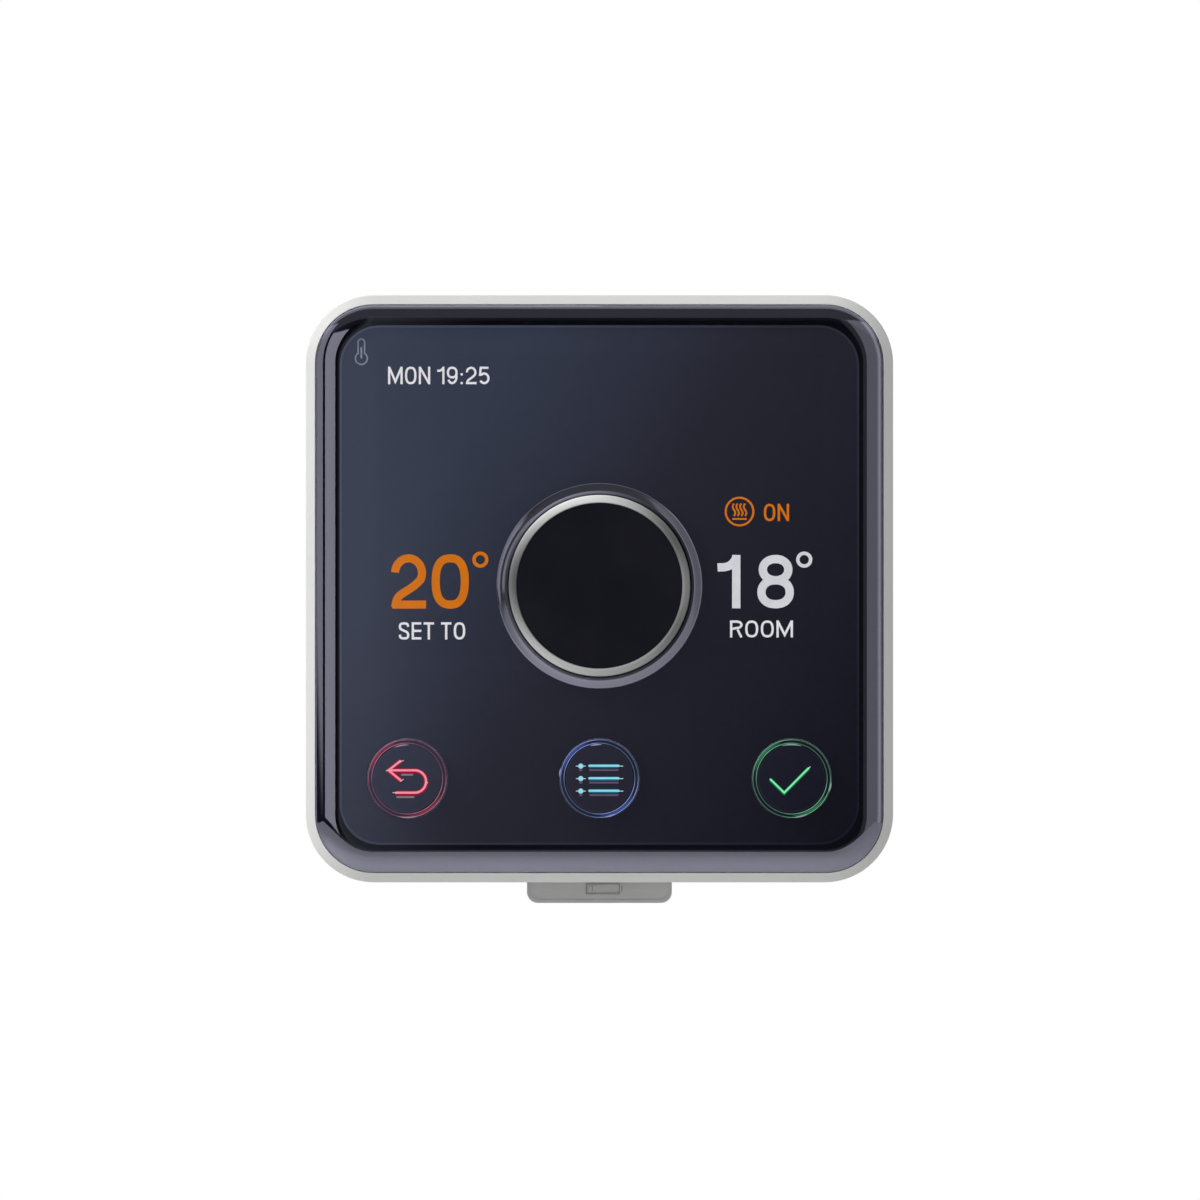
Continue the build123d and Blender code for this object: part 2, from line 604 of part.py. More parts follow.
with BuildPart() as bay_contacts:
    contact_back = TRAY_MIDDLE + BAY_CONTACT_SHEET
    contact_foot = BAY_TOP + BAY_CONTACT_GAP
    contact_bend = contact_foot + BAY_CONTACT_HEIGHT
    with BuildSketch(at_depth(contact_back)):
        with Locations((-CONTACT_X, contact_foot), (CONTACT_X, contact_foot)):
            Rectangle(CONTACT_WIDTH, BAY_CONTACT_HEIGHT, align=BOTTOM_CENTRE)
    extrude(amount=BAY_CONTACT_SHEET)
    with BuildSketch(at_depth(contact_back)):
        with Locations((-CONTACT_X, contact_bend), (CONTACT_X, contact_bend)):
            Rectangle(CONTACT_WIDTH, BAY_CONTACT_SHEET, align=TOP_CENTRE)
    extrude(amount=CHASSIS_BACK - contact_back)
bay_contacts.part.label = "bay_contacts"
export_step(bay_contacts.part, "parts/bay_contacts.step")

# ---------------------------------------------------------------- dial

with BuildPart() as dial_collar:
    with BuildSketch(Plane.XY.offset(DIAL_LEVEL)):
        with BuildLine():
            Polyline(
                (COLLAR_BORE, -BOARD_FRONT),
                (COLLAR_TUBE, -BOARD_FRONT),
                (COLLAR_TUBE, -LENS_FRONT),
                (COLLAR_RADIUS, -LENS_FRONT),
                (COLLAR_RADIUS, -COLLAR_FRONT),
                (COLLAR_BORE, -COLLAR_FRONT),
                close=True,
            )
        make_face()
        fillet(vertices().group_by(Axis.Y)[0], radius=COLLAR_ROUND)
    revolve(axis=DIAL_AXIS)
dial_collar.part.label = "dial_collar"
export_step(dial_collar.part, "parts/dial_collar.step")

with BuildPart() as encoder_body:
    with BuildSketch(at_depth(BOARD_FRONT)):
        with Locations(DIAL_SPOT):
            RectangleRounded(ENCODER_SIDE, ENCODER_SIDE, ENCODER_CORNER)
    extrude(amount=ENCODER_FRONT - BOARD_FRONT)
    with BuildSketch(at_depth(ENCODER_FRONT)):
        with Locations(DIAL_SPOT):
            Circle(BUSHING_RADIUS)
    extrude(amount=BUSHING_FRONT - ENCODER_FRONT)
    with BuildSketch(at_depth(BOARD_FRONT)):
        with Locations(DIAL_SPOT):
            Circle(SHAFT_RADIUS + SHAFT_CLEARANCE)
    extrude(amount=BUSHING_FRONT - BOARD_FRONT, mode=Mode.SUBTRACT)
encoder_body.part.label = "encoder_body"
export_step(encoder_body.part, "parts/encoder_body.step")

with BuildPart() as encoder_plunger:
    with BuildSketch(at_depth(PLUNGER_BACK)):
        with Locations(DIAL_SPOT):
            Circle(SHAFT_RADIUS)
    extrude(amount=PLUNGER_FRONT - PLUNGER_BACK)
encoder_plunger.part.label = "encoder_plunger"
export_step(encoder_plunger.part, "parts/encoder_plunger.step")

# the far end of the shaft has a flat on top, and the dial's hub has the same flat in its bore
with BuildPart() as encoder_shaft:
    with BuildSketch(at_depth(SHAFT_BACK)):
        with Locations(DIAL_SPOT):
            Circle(SHAFT_RADIUS)
    extrude(amount=SHAFT_FRONT - SHAFT_BACK)
    with BuildSketch(at_depth(HUB_BACK)):
        with Locations((0, DIAL_LEVEL + SHAFT_FLAT)):
            Rectangle(2 * SHAFT_RADIUS, SHAFT_RADIUS, align=BOTTOM_CENTRE)
    extrude(amount=SHAFT_FRONT - HUB_BACK, mode=Mode.SUBTRACT)
encoder_shaft.part.label = "encoder_shaft"
export_step(encoder_shaft.part, "parts/encoder_shaft.step")

with BuildPart() as dial_knob:
    with BuildSketch(at_depth(KNOB_BACK)):
        with Locations(DIAL_SPOT):
            Circle(RING_RADIUS - KNOB_STEP)
    extrude(amount=RING_BACK - KNOB_BACK)
    with BuildSketch(at_depth(RING_BACK)):
        with Locations(DIAL_SPOT):
            Circle(RING_BORE)
    extrude(amount=CAP_BACK - RING_BACK)
    with BuildSketch(at_depth(KNOB_BACK)):
        with Locations(DIAL_SPOT):
            Circle(KNOB_HOLLOW)
    extrude(amount=KNOB_HOLLOW_FRONT - KNOB_BACK, mode=Mode.SUBTRACT)
    with BuildSketch(at_depth(HUB_BACK)):
        with Locations(DIAL_SPOT):
            Circle(HUB_RADIUS)
    extrude(amount=KNOB_HOLLOW_FRONT - HUB_BACK)
    with BuildSketch(at_depth(HUB_BACK)):
        with Locations(DIAL_SPOT):
            Circle(SHAFT_RADIUS)
        with Locations((0, DIAL_LEVEL + SHAFT_FLAT)):
            Rectangle(2 * SHAFT_RADIUS, SHAFT_RADIUS, align=BOTTOM_CENTRE, mode=Mode.SUBTRACT)
    extrude(amount=SHAFT_FRONT - HUB_BACK, mode=Mode.SUBTRACT)
dial_knob.part.label = "dial_knob"
export_step(dial_knob.part, "parts/dial_knob.step")

with BuildPart() as dial_ring:
    with BuildSketch(Plane.XY.offset(DIAL_LEVEL)):
        with BuildLine():
            Polyline(*ring_points(RING_BORE, RING_RADIUS, RING_BACK, RING_FRONT), close=True)
        make_face()
        chamfer(vertices().group_by(Axis.Y)[0], length=RING_BEVEL)
    revolve(axis=DIAL_AXIS)
dial_ring.part.label = "dial_ring"
export_step(dial_ring.part, "parts/dial_ring.step")

with BuildPart() as dial_cap:
    with BuildSketch(at_depth(CAP_BACK)):
        with Locations(DIAL_SPOT):
            Circle(RING_BORE)
    extrude(amount=CAP_FRONT - CAP_BACK)
dial_cap.part.label = "dial_cap"
export_step(dial_cap.part, "parts/dial_cap.step")

# ---------------------------------------------------------------- buttons

for name, x in BUTTONS:
    spot = (x, BUTTON_LEVEL)

    with BuildPart() as button:
        with BuildSketch(at_depth(BUTTON_BACK)):
            with Locations(spot):
                Circle(BUTTON_RADIUS)
        extrude(amount=LENS_FRONT - BUTTON_BACK)
        fillet(edges().group_by(Axis.Y)[0], radius=BUTTON_ROUND)
        with BuildSketch(at_depth(SKIRT_REAR)):
            with Locations(spot):
                Circle(BUTTON_RADIUS)
                Circle(SKIRT_BORE, mode=Mode.SUBTRACT)
        extrude(amount=BUTTON_BACK - SKIRT_REAR)
        with BuildSketch(at_depth(SKIRT_REAR)):
            with Locations(spot):
                Rectangle(LUG_WIDTH, 2 * LUG_REACH)
                Circle(SKIRT_BORE, mode=Mode.SUBTRACT)
        extrude(amount=LUG_FRONT - SKIRT_REAR)
    button.part.label = f"{name}_button"
    export_step(button.part, f"parts/{name}_button.step")

    with BuildPart() as guide:
        with BuildSketch(at_depth(GUIDE_BACK)):
            with Locations(spot):
                Circle(GUIDE_FLANGE)
                Circle(GUIDE_BORE, mode=Mode.SUBTRACT)
        extrude(amount=GUIDE_SHOULDER - GUIDE_BACK)
        with BuildSketch(at_depth(GUIDE_SHOULDER)):
            with Locations(spot):
                Circle(GUIDE_RADIUS)
                Circle(GUIDE_BORE, mode=Mode.SUBTRACT)
        extrude(amount=LENS_FRONT - GUIDE_SHOULDER)
        fillet(edges().group_by(Axis.Y)[0], radius=GUIDE_ROUND)
    guide.part.label = f"{name}_light_ring"
    export_step(guide.part, f"parts/{name}_light_ring.step")

    with BuildPart() as lamps:
        with BuildSketch(at_depth(BOARD_FRONT)):
            with Locations((x - LAMP_X, BUTTON_LEVEL), (x + LAMP_X, BUTTON_LEVEL)):
                Rectangle(LAMP_WIDTH, LAMP_HEIGHT)
        extrude(amount=LAMP_THICKNESS)
    lamps.part.label = f"{name}_lamps"
    export_step(lamps.part, f"parts/{name}_lamps.step")

    with BuildPart() as switch:
        with BuildSketch(at_depth(BOARD_FRONT)):
            with Locations(spot):
                Rectangle(SWITCH_SIDE, SWITCH_SIDE)
                Circle(SWITCH_STEM_RADIUS + SHAFT_CLEARANCE, mode=Mode.SUBTRACT)
        extrude(amount=SWITCH_FRONT - BOARD_FRONT)
    switch.part.label = f"{name}_switch"
    export_step(switch.part, f"parts/{name}_switch.step")

    with BuildPart() as switch_stem:
        with BuildSketch(at_depth(PLUNGER_BACK)):
            with Locations(spot):
                Circle(SWITCH_STEM_RADIUS)
        extrude(amount=BUTTON_BACK - PLUNGER_BACK)
    switch_stem.part.label = f"{name}_switch_stem"
    export_step(switch_stem.part, f"parts/{name}_switch_stem.step")

# ---------------------------------------------------------------- battery tray

with BuildPart() as battery_tray:
    with BuildSketch(at_depth(TRAY_BACK)):
        with Locations((0, TRAY_BOTTOM)):
            Rectangle(2 * TRAY_HALF, TRAY_TOP - TRAY_BOTTOM, align=BOTTOM_CENTRE)
        with Locations((0, TRAY_BOTTOM + TRAY_END)):
            Rectangle(
                2 * (TRAY_HALF - TRAY_WALL), CELL_COUNT * CELL_PITCH, align=BOTTOM_CENTRE, mode=Mode.SUBTRACT
            )
        with Locations(*[(0, level + CELL_PITCH / 2) for level in CELL_LEVELS[:-1]]):
            Rectangle(2 * (TRAY_HALF - TRAY_WALL), TRAY_RIB)
    extrude(amount=TRAY_FRONT - TRAY_BACK)
    with BuildSketch(Plane.YZ.offset(-(TRAY_HALF - TRAY_WALL))):
        with Locations(*[(-TRAY_MIDDLE, level) for level in CELL_LEVELS]):
            Circle(CELL_RADIUS + SLIP_GAP)
    extrude(amount=2 * (TRAY_HALF - TRAY_WALL), mode=Mode.SUBTRACT)
    # the pocket that the pull tab's tongue clips into
    with BuildSketch(Plane.XY.offset(TRAY_BOTTOM)):
        with Locations((0, -TRAY_MIDDLE)):
            Rectangle(TONGUE_WIDTH, TONGUE_DEPTH)
    extrude(amount=TONGUE_HEIGHT, mode=Mode.SUBTRACT)
battery_tray.part.label = "battery_tray"
export_step(battery_tray.part, "parts/battery_tray.step")

with BuildPart() as battery_tab:
    with BuildSketch(at_depth(TAB_BACK)):
        with Locations((0, TRAY_BOTTOM)):
            Rectangle(TAB_WIDTH, TAB_DROP, align=TOP_CENTRE)
        fillet(vertices().group_by(Axis.Y)[0], radius=TAB_CORNER)
    extrude(amount=TAB_FRONT - TAB_BACK)
    # a fine rim set in from the edge of the front face
    with BuildSketch(at_depth(TAB_FRONT)):
        with Locations((0, TRAY_BOTTOM)):
            Rectangle(TAB_WIDTH - 2 * TAB_RIM_INSET, TAB_DROP - TAB_RIM_INSET, align=TOP_CENTRE)
        fillet(vertices().group_by(Axis.Y)[0], radius=TAB_CORNER - TAB_RIM_INSET)
        offset(amount=-TAB_RIM_WIDTH, mode=Mode.SUBTRACT)
    extrude(amount=TAB_RELIEF)
    # a plain battery sign inside the rim
    with BuildSketch(at_depth(TAB_FRONT)):
        with Locations((SIGN_X, SIGN_LEVEL)):
            Rectangle(SIGN_WIDTH, SIGN_HEIGHT)
            Rectangle(SIGN_WIDTH - 2 * SIGN_LINE, SIGN_HEIGHT - 2 * SIGN_LINE, mode=Mode.SUBTRACT)
        with Locations((SIGN_NUB_X, SIGN_LEVEL)):
            Rectangle(SIGN_NUB_WIDTH, SIGN_CHARGE_HEIGHT)
        with Locations((SIGN_CHARGE_X, SIGN_LEVEL)):
            Rectangle(SIGN_CHARGE_WIDTH, SIGN_CHARGE_HEIGHT)
    extrude(amount=TAB_RELIEF)
    with BuildSketch(Plane.XY.offset(TRAY_BOTTOM)):
        with Locations((0, -TRAY_MIDDLE)):
            Rectangle(TONGUE_WIDTH, TONGUE_DEPTH)
    extrude(amount=TONGUE_HEIGHT)
battery_tab.part.label = "battery_tab"
export_step(battery_tab.part, "parts/battery_tab.step")

for index, level in enumerate(CELL_LEVELS):
    facing = 1 if index % 2 == 0 else -1
    cell_end = Plane(origin=(-facing * CELL_BODY / 2, -TRAY_MIDDLE, level), z_dir=(facing, 0, 0))
    with BuildPart() as cell:
        with BuildSketch(cell_end):
            Circle(CELL_RADIUS)
        extrude(amount=CELL_BODY)
        fillet(edges().filter_by(GeomType.CIRCLE), radius=CELL_ROUND)
        with BuildSketch(cell_end.offset(CELL_BODY)):
            Circle(CELL_NUB_RADIUS)
        extrude(amount=CELL_NUB)
    cell.part.label = f"battery_{index + 1}"
    export_step(cell.part, f"parts/battery_{index + 1}.step")

with BuildPart() as contact_plates:
    for index, level in enumerate(CELL_LEVELS):
        facing = 1 if index % 2 == 0 else -1
        with Locations((facing * (NUB_X + PLATE_X) / 2, -TRAY_MIDDLE, level)):
            Box(PLATE_X - NUB_X, CONTACT_PLATE, CONTACT_PLATE)
contact_plates.part.label = "contact_plates"
export_step(contact_plates.part, "parts/contact_plates.step")

with BuildPart() as leaf_springs:
    for index, level in enumerate(CELL_LEVELS):
        facing = -1 if index % 2 == 0 else 1
        top = facing * CELL_BODY / 2
        inner_top = facing * (CELL_BODY / 2 + SPRING_SHEET)
        inner_foot = facing * (PLATE_X - SPRING_SHEET)
        with BuildSketch(Plane.XZ.offset(TRAY_MIDDLE - SPRING_WIDTH / 2)):
            with BuildLine():
                Polyline(
                    (facing * PLATE_X, level - SPRING_FOOT),
                    (facing * PLATE_X, level + SPRING_FOOT),
                    (facing * (PLATE_X - SPRING_LIP), level + SPRING_FOOT),
                    (top, level + SPRING_TOP),
                    (top, level - SPRING_TOP),
                    (facing * (PLATE_X - SPRING_LIP), level - SPRING_FOOT),
                    close=True,
                )
            make_face()
            with BuildLine():
                Polyline(
                    (inner_foot, level + SPRING_INNER_FOOT),
                    (inner_top, level + SPRING_INNER_TOP),
                    (inner_top, level - SPRING_INNER_TOP),
                    (inner_foot, level - SPRING_INNER_FOOT),
                    close=True,
                )
            make_face(mode=Mode.SUBTRACT)
        extrude(amount=SPRING_WIDTH)
leaf_springs.part.label = "leaf_springs"
export_step(leaf_springs.part, "parts/leaf_springs.step")

with BuildPart() as outlet_contacts:
    with BuildSketch(at_depth(TRAY_MIDDLE)):
        with Locations((-CONTACT_X, TRAY_TOP), (CONTACT_X, TRAY_TOP)):
            Rectangle(CONTACT_WIDTH, OUTLET_HEIGHT, align=BOTTOM_CENTRE)
    extrude(amount=OUTLET_SHEET)
outlet_contacts.part.label = "outlet_contacts"
export_step(outlet_contacts.part, "parts/outlet_contacts.step")
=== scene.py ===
"""Square wall thermostat: gloss window, turning dial, lit buttons and a pull-out battery tray."""

import math

import bmesh
import bpy
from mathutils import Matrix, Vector
from mathutils.geometry import tessellate_polygon


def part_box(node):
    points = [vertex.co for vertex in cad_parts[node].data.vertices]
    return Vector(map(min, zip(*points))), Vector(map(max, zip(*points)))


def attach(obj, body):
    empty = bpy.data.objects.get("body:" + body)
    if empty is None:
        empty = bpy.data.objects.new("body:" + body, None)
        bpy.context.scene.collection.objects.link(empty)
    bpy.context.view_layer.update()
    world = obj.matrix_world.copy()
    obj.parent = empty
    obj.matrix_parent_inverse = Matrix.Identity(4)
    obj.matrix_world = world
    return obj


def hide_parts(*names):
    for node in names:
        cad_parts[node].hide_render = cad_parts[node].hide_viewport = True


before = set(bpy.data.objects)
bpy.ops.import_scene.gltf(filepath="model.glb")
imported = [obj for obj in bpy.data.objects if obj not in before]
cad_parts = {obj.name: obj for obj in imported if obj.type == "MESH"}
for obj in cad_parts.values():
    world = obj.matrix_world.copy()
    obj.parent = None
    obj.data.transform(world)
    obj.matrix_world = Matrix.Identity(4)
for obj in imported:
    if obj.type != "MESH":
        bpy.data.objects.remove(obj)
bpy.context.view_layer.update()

MM = 0.001

# ------------------------------------------------------------------ sizes, from the frame where it has them

lens_low, lens_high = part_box("front_lens")
ring_low, ring_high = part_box("dial_ring")
collar_low, collar_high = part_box("dial_collar")
cap_low, cap_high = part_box("dial_cap")
trim_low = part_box("trim_frame")[0]
film_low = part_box("mirror_film")[0]

LENS_FRONT = lens_low.y
LENS_BACK = lens_high.y - 0.06 * MM
FILM_FRONT = film_low.y
FILTER_FRONT = FILM_FRONT - 0.02 * MM
PRINT_FRONT = FILM_FRONT - 0.04 * MM
FACE_HALF = 43.75 * MM
FACE_RISE = 0.62 * MM
FACE_CORNER = 6.8 * MM
LENS_HALF = lens_high.x
LENS_CORNER = 9.8 * MM
EDGE_RUN = 4.2 * MM
EDGE_DROP = 1.7 * MM
DIAL = Vector((0, 0, (ring_low.z + ring_high.z) / 2))
DIAL_HOLE = (collar_high.x - collar_low.x) / 2 - 0.7 * MM
BUTTON_HOLE = 6.65 * MM
BUTTONS = {}
for button_name in ("back", "menu", "confirm"):
    low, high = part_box(f"{button_name}_light_ring")
    BUTTONS[button_name] = Vector(((low.x + high.x) / 2, 0, (low.z + high.z) / 2))


# ------------------------------------------------------------------ mesh helpers


def make_piece(name, vertices, faces, body, material, sharp_angle=35.0):
    """A mesh piece that rides on a body, smooth-shaded except across edges sharper than the angle."""
    mesh = bpy.data.meshes.new(name)
    mesh.from_pydata([tuple(v) for v in vertices], [], faces)
    mesh.validate()
    mesh.polygons.foreach_set("use_smooth", [True] * len(mesh.polygons))
    mesh.set_sharp_from_angle(angle=math.radians(sharp_angle))
    piece = bpy.data.objects.new(name, mesh)
    bpy.context.scene.collection.objects.link(piece)
    mesh.materials.append(material)
    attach(piece, body)
    return piece


def rounded_square(half, corner, per_corner=24):
    """Points of a rounded square about the origin, anticlockwise from the middle of the right side."""
    points = []
    straight = half - corner
    for quarter, (cx, cz) in enumerate(((1, 1), (-1, 1), (-1, -1), (1, -1))):
        for step in range(per_corner + 1):
            angle = math.pi / 2 * (quarter + step / per_corner)
            x = cx * straight + corner * math.cos(angle)
            z = cz * straight + corner * math.sin(angle)
            points.append((x, z))
    return points


def circle(centre, radius, count):
    """Points of a circle in the X-Z plane."""
    turn = [2 * math.pi * step / count for step in range(count)]
    return [(centre.x + radius * math.cos(a), centre.z + radius * math.sin(a)) for a in turn]


def stitch(first, second, count):
    """Quads between two closed loops of vertices that start at those indices."""
    return [(first + i, first + (i + 1) % count, second + (i + 1) % count, second + i) for i in range(count)]


def lathe(name, centre, profile, body, material, count=192, closed=True, sharp_angle=35.0):
    """Turns a profile of (radius, y) about the dial's direction. A radius of 0 closes the end."""
    vertices = []
    rows = []
    for radius, y in profile:
        rows.append((len(vertices), radius))
        if radius == 0:
            vertices.append((centre.x, y, centre.z))
        else:
            vertices += [(x, y, z) for x, z in circle(centre, radius, count)]
    faces = []
    pairs = list(zip(rows, rows[1:]))
    if closed:
        pairs.append((rows[-1], rows[0]))
    for (start, radius), (end, next_radius) in pairs:
        if radius and next_radius:
            faces += stitch(start, end, count)
        elif radius:
            faces += [(start + i, start + (i + 1) % count, end) for i in range(count)]
        elif next_radius:
            faces += [(end + (i + 1) % count, end + i, start) for i in range(count)]
    piece = make_piece(name, vertices, faces, body, material, sharp_angle)
    tidy_normals(piece)
    return piece


def tidy_normals(piece):
    """Points every face of a closed mesh outwards."""
    work = bmesh.new()
    work.from_mesh(piece.data)
    bmesh.ops.recalc_face_normals(work, faces=work.faces)
    work.to_mesh(piece.data)
    work.free()


def arc(cx, cz, rx, rz, start, end, count=24):
    """Points of an elliptical arc, in degrees."""
    angles = [math.radians(start + (end - start) * step / count) for step in range(count + 1)]
    return [(cx + rx * math.cos(a), cz + rz * math.sin(a)) for a in angles]


def smooth(points, per_span=10):
    """A Catmull-Rom curve through the points."""
    padded = [points[0], *points, points[-1]]
    curve = []
    for a, b, c, d in zip(padded, padded[1:], padded[2:], padded[3:]):
        for step in range(per_span):
            t = step / per_span
            curve.append(
                tuple(
                    q
                    + 0.5 * (r - p) * t
                    + 0.5 * (2 * p - 5 * q + 4 * r - s) * t**2
                    + 0.5 * (3 * q - p - 3 * r + s) * t**3
                    for p, q, r, s in zip(a, b, c, d)
                )
            )
    return curve + [points[-1]]


def side_offsets(path, closed):
    """For each point, the unit sideways direction and how far a mitred edge stands out along it."""
    offsets = []
    count = len(path)
    for i, here in enumerate(path):
        before = path[i - 1] if i or closed else None
        after = path[(i + 1) % count] if i + 1 < count or closed else None
        sides = []
        for a, b in ((before, here), (here, after)):
            if a is not None and b is not None:
                run = Vector((b[0] - a[0], b[1] - a[1])).normalized()
                sides.append(Vector((-run.y, run.x)))
        middle = sum(sides, Vector((0, 0))).normalized()
        offsets.append(middle / max(middle.dot(sides[0]), 0.4))
    return offsets


def ribbons(name, strokes, width, back, thickness, body, material):
    """Flat raised strokes from the plane y = back towards -Y. Each stroke is (points in X-Z, closed)."""
    vertices, faces = [], []
    for path, closed in strokes:
        offsets = side_offsets(path, closed)
        start = len(vertices)
        count = len(path)
        for (x, z), side in zip(path, offsets):
            for across, y in ((0.5, back), (0.5, back - thickness), (-0.5, back - thickness), (-0.5, back)):
                vertices.append((x + side.x * width * across, y, z + side.y * width * across))
        for i in range(count if closed else count - 1):
            a, b = start + 4 * i, start + 4 * ((i + 1) % count)
            faces += [(a + k, b + k, b + (k + 1) % 4, a + (k + 1) % 4) for k in range(4)]
        if not closed:
            end = start + 4 * (count - 1)
            faces += [(start, start + 1, start + 2, start + 3), (end + 3, end + 2, end + 1, end)]
    piece = make_piece(name, vertices, faces, body, material)
    tidy_normals(piece)
    return piece


def beads(name, strokes, width, height, back, body, material, round_ends=True):
    """Half-round raised strokes, with rounded ends, that stand out from the plane y = back."""
    across = 10
    vertices, faces = [], []
    for path, closed in strokes:
        dense = [path[0]]
        for a, b in zip(path, path[1:]):
            length = math.dist(a, b)
            steps = max(1, round(length / (width * 0.12)))
            for share in (step / steps for step in range(1, steps + 1)):
                dense.append((a[0] + (b[0] - a[0]) * share, a[1] + (b[1] - a[1]) * share))
        travelled = [0.0]
        for a, b in zip(dense, dense[1:]):
            travelled.append(travelled[-1] + math.dist(a, b))
        offsets = side_offsets(dense, closed)
        start = len(vertices)
        for (x, z), side, gone in zip(dense, offsets, travelled):
            from_end = min(gone, travelled[-1] - gone)
            taper = 1.0
            if round_ends and not closed and from_end < width / 2:
                taper = math.sqrt(max(1 - (1 - 2 * from_end / width) ** 2, 0.003))
            for k in range(across + 1):
                angle = math.pi * k / across
                reach = math.cos(angle) * width / 2 * taper
                rise = math.sin(angle) * height * taper
                vertices.append((x + side.x * reach, back - rise, z + side.y * reach))
        row = across + 1
        for i in range(len(dense) - 1 + closed):
            a, b = start + row * i, start + row * ((i + 1) % len(dense))
            faces += [(a + k, b + k, b + (k + 1) % row, a + (k + 1) % row) for k in range(row)]
        if not closed:
            last = start + row * (len(dense) - 1)
            faces += [tuple(range(start, start + row)), tuple(range(last + across, last - 1, -1))]
    piece = make_piece(name, vertices, faces, body, material, sharp_angle=60.0)
    tidy_normals(piece)
    return piece


# ------------------------------------------------------------------ material helpers


def new_material(name, color, roughness, metallic=0.0, **inputs):
    """A Principled material. Extra inputs are given by their socket names, with _ for spaces."""
    material = bpy.data.materials.new(name)
    material.use_nodes = True
    shader = material.node_tree.nodes["Principled BSDF"]
    shader.inputs["Base Color"].default_value = (*color, 1.0)
    shader.inputs["Roughness"].default_value = roughness
    shader.inputs["Metallic"].default_value = metallic
    for socket, value in inputs.items():
        shader.inputs[socket.replace("_", " ")].default_value = value
    return material


def shader_of(material):
    return material.node_tree.nodes["Principled BSDF"]


def roughness_of(material):
    return shader_of(material).inputs["Roughness"]


def add_node(material, kind, **settings):
    node = material.node_tree.nodes.new(kind)
    for key, value in settings.items():
        setattr(node, key, value)
    return node


def link(material, source, target):
    material.node_tree.links.new(source, target)


def maths(material, operation, *values, kind="ShaderNodeMath"):
    """A maths node's result. Each value is a constant or another node's output."""
    node = add_node(material, kind, operation=operation)
    for socket, value in zip(node.inputs, values):
        if isinstance(value, bpy.types.NodeSocket):
            link(material, value, socket)
        else:
            socket.default_value = value
    return node.outputs["Value" if operation in ("DOT_PRODUCT", "LENGTH") else 0]


def vector_maths(material, operation, *values):
    return maths(material, operation, *values, kind="ShaderNodeVectorMath")


def position(material):
    """The place on the piece, as one vector."""
    return add_node(material, "ShaderNodeTexCoord").outputs["Object"]


def split(material, vector):
    """A vector's separate X, Y and Z outputs."""
    parts = add_node(material, "ShaderNodeSeparateXYZ")
    link(material, vector, parts.inputs["Vector"])
    return parts.outputs


def color_ramp(material, factor, stops):
    """A colour ramp through the stops, each a position and a colour."""
    ramp = add_node(material, "ShaderNodeValToRGB")
    while len(ramp.color_ramp.elements) < len(stops):
        ramp.color_ramp.elements.new(0.5)
    for element, (place, color) in zip(ramp.color_ramp.elements, stops):
        element.position = place
        element.color = (*color, 1.0)
    link(material, factor, ramp.inputs["Fac"])
    return ramp.outputs["Color"]


def noise(material, scale, detail=3.0, stretch=(1, 1, 1)):
    """A noise pattern fixed to the piece, with the scale counted per metre."""
    mapping = add_node(material, "ShaderNodeMapping")
    mapping.inputs["Scale"].default_value = stretch
    texture = add_node(material, "ShaderNodeTexNoise")
    texture.inputs["Scale"].default_value = scale
    texture.inputs["Detail"].default_value = detail
    link(material, position(material), mapping.inputs["Vector"])
    link(material, mapping.outputs["Vector"], texture.inputs["Vector"])
    return texture.outputs["Fac"]


def between(material, factor, low, high, start=0.3, end=0.7):
    """Maps a pattern's usual range onto low..high."""
    span = add_node(material, "ShaderNodeMapRange")
    span.inputs["From Min"].default_value = start
    span.inputs["From Max"].default_value = end
    span.inputs["To Min"].default_value = low
    span.inputs["To Max"].default_value = high
    link(material, factor, span.inputs["Value"])
    return span.outputs["Result"]


def add_bump(material, pattern, depth, strength=1.0):
    bump = add_node(material, "ShaderNodeBump")
    bump.inputs["Distance"].default_value = depth
    bump.inputs["Strength"].default_value = strength
    link(material, pattern, bump.inputs["Height"])
    link(material, bump.outputs["Normal"], shader_of(material).inputs["Normal"])


def tint(material, pattern, first, second):
    """Varies the base colour between two colours by a pattern."""
    colors = color_ramp(material, pattern, ((0.3, first), (0.7, second)))
    link(material, colors, shader_of(material).inputs["Base Color"])


def plastic(name, color, roughness, grain=3500.0, depth=0.012 * MM, spread=0.04):
    """Moulded plastic: a fine spark-eroded grain, faint colour drift and uneven gloss."""
    material = new_material(name, color, roughness)
    broad = noise(material, 60.0, 2.0)
    tint(material, broad, [c * (1 - spread) for c in color], [min(c * (1 + spread), 1.0) for c in color])
    link(material, between(material, broad, roughness * 0.9, roughness * 1.12), roughness_of(material))
    add_bump(material, noise(material, grain, 4.0), depth)
    return material


def metal(name, color, roughness, stretch=(1, 1, 1), grain=4000.0, depth=0.006 * MM):
    """Plain or brushed metal, brushed along the axis whose stretch is smallest."""
    material = new_material(name, color, roughness, 1.0)
    lines = noise(material, grain, 4.0, stretch)
    tint(material, lines, [c * 0.88 for c in color], [min(c * 1.06, 1.0) for c in color])
    link(material, between(material, lines, roughness * 0.8, roughness * 1.25), roughness_of(material))
    add_bump(material, lines, depth)
    return material


def gloss(name, color, roughness=0.06, **inputs):
    """Polished plastic with a slow, uneven polish."""
    material = new_material(name, color, roughness, **inputs)
    broad = noise(material, 90.0, 2.0)
    link(material, between(material, broad, roughness * 0.7, roughness * 1.4), roughness_of(material))
    return material


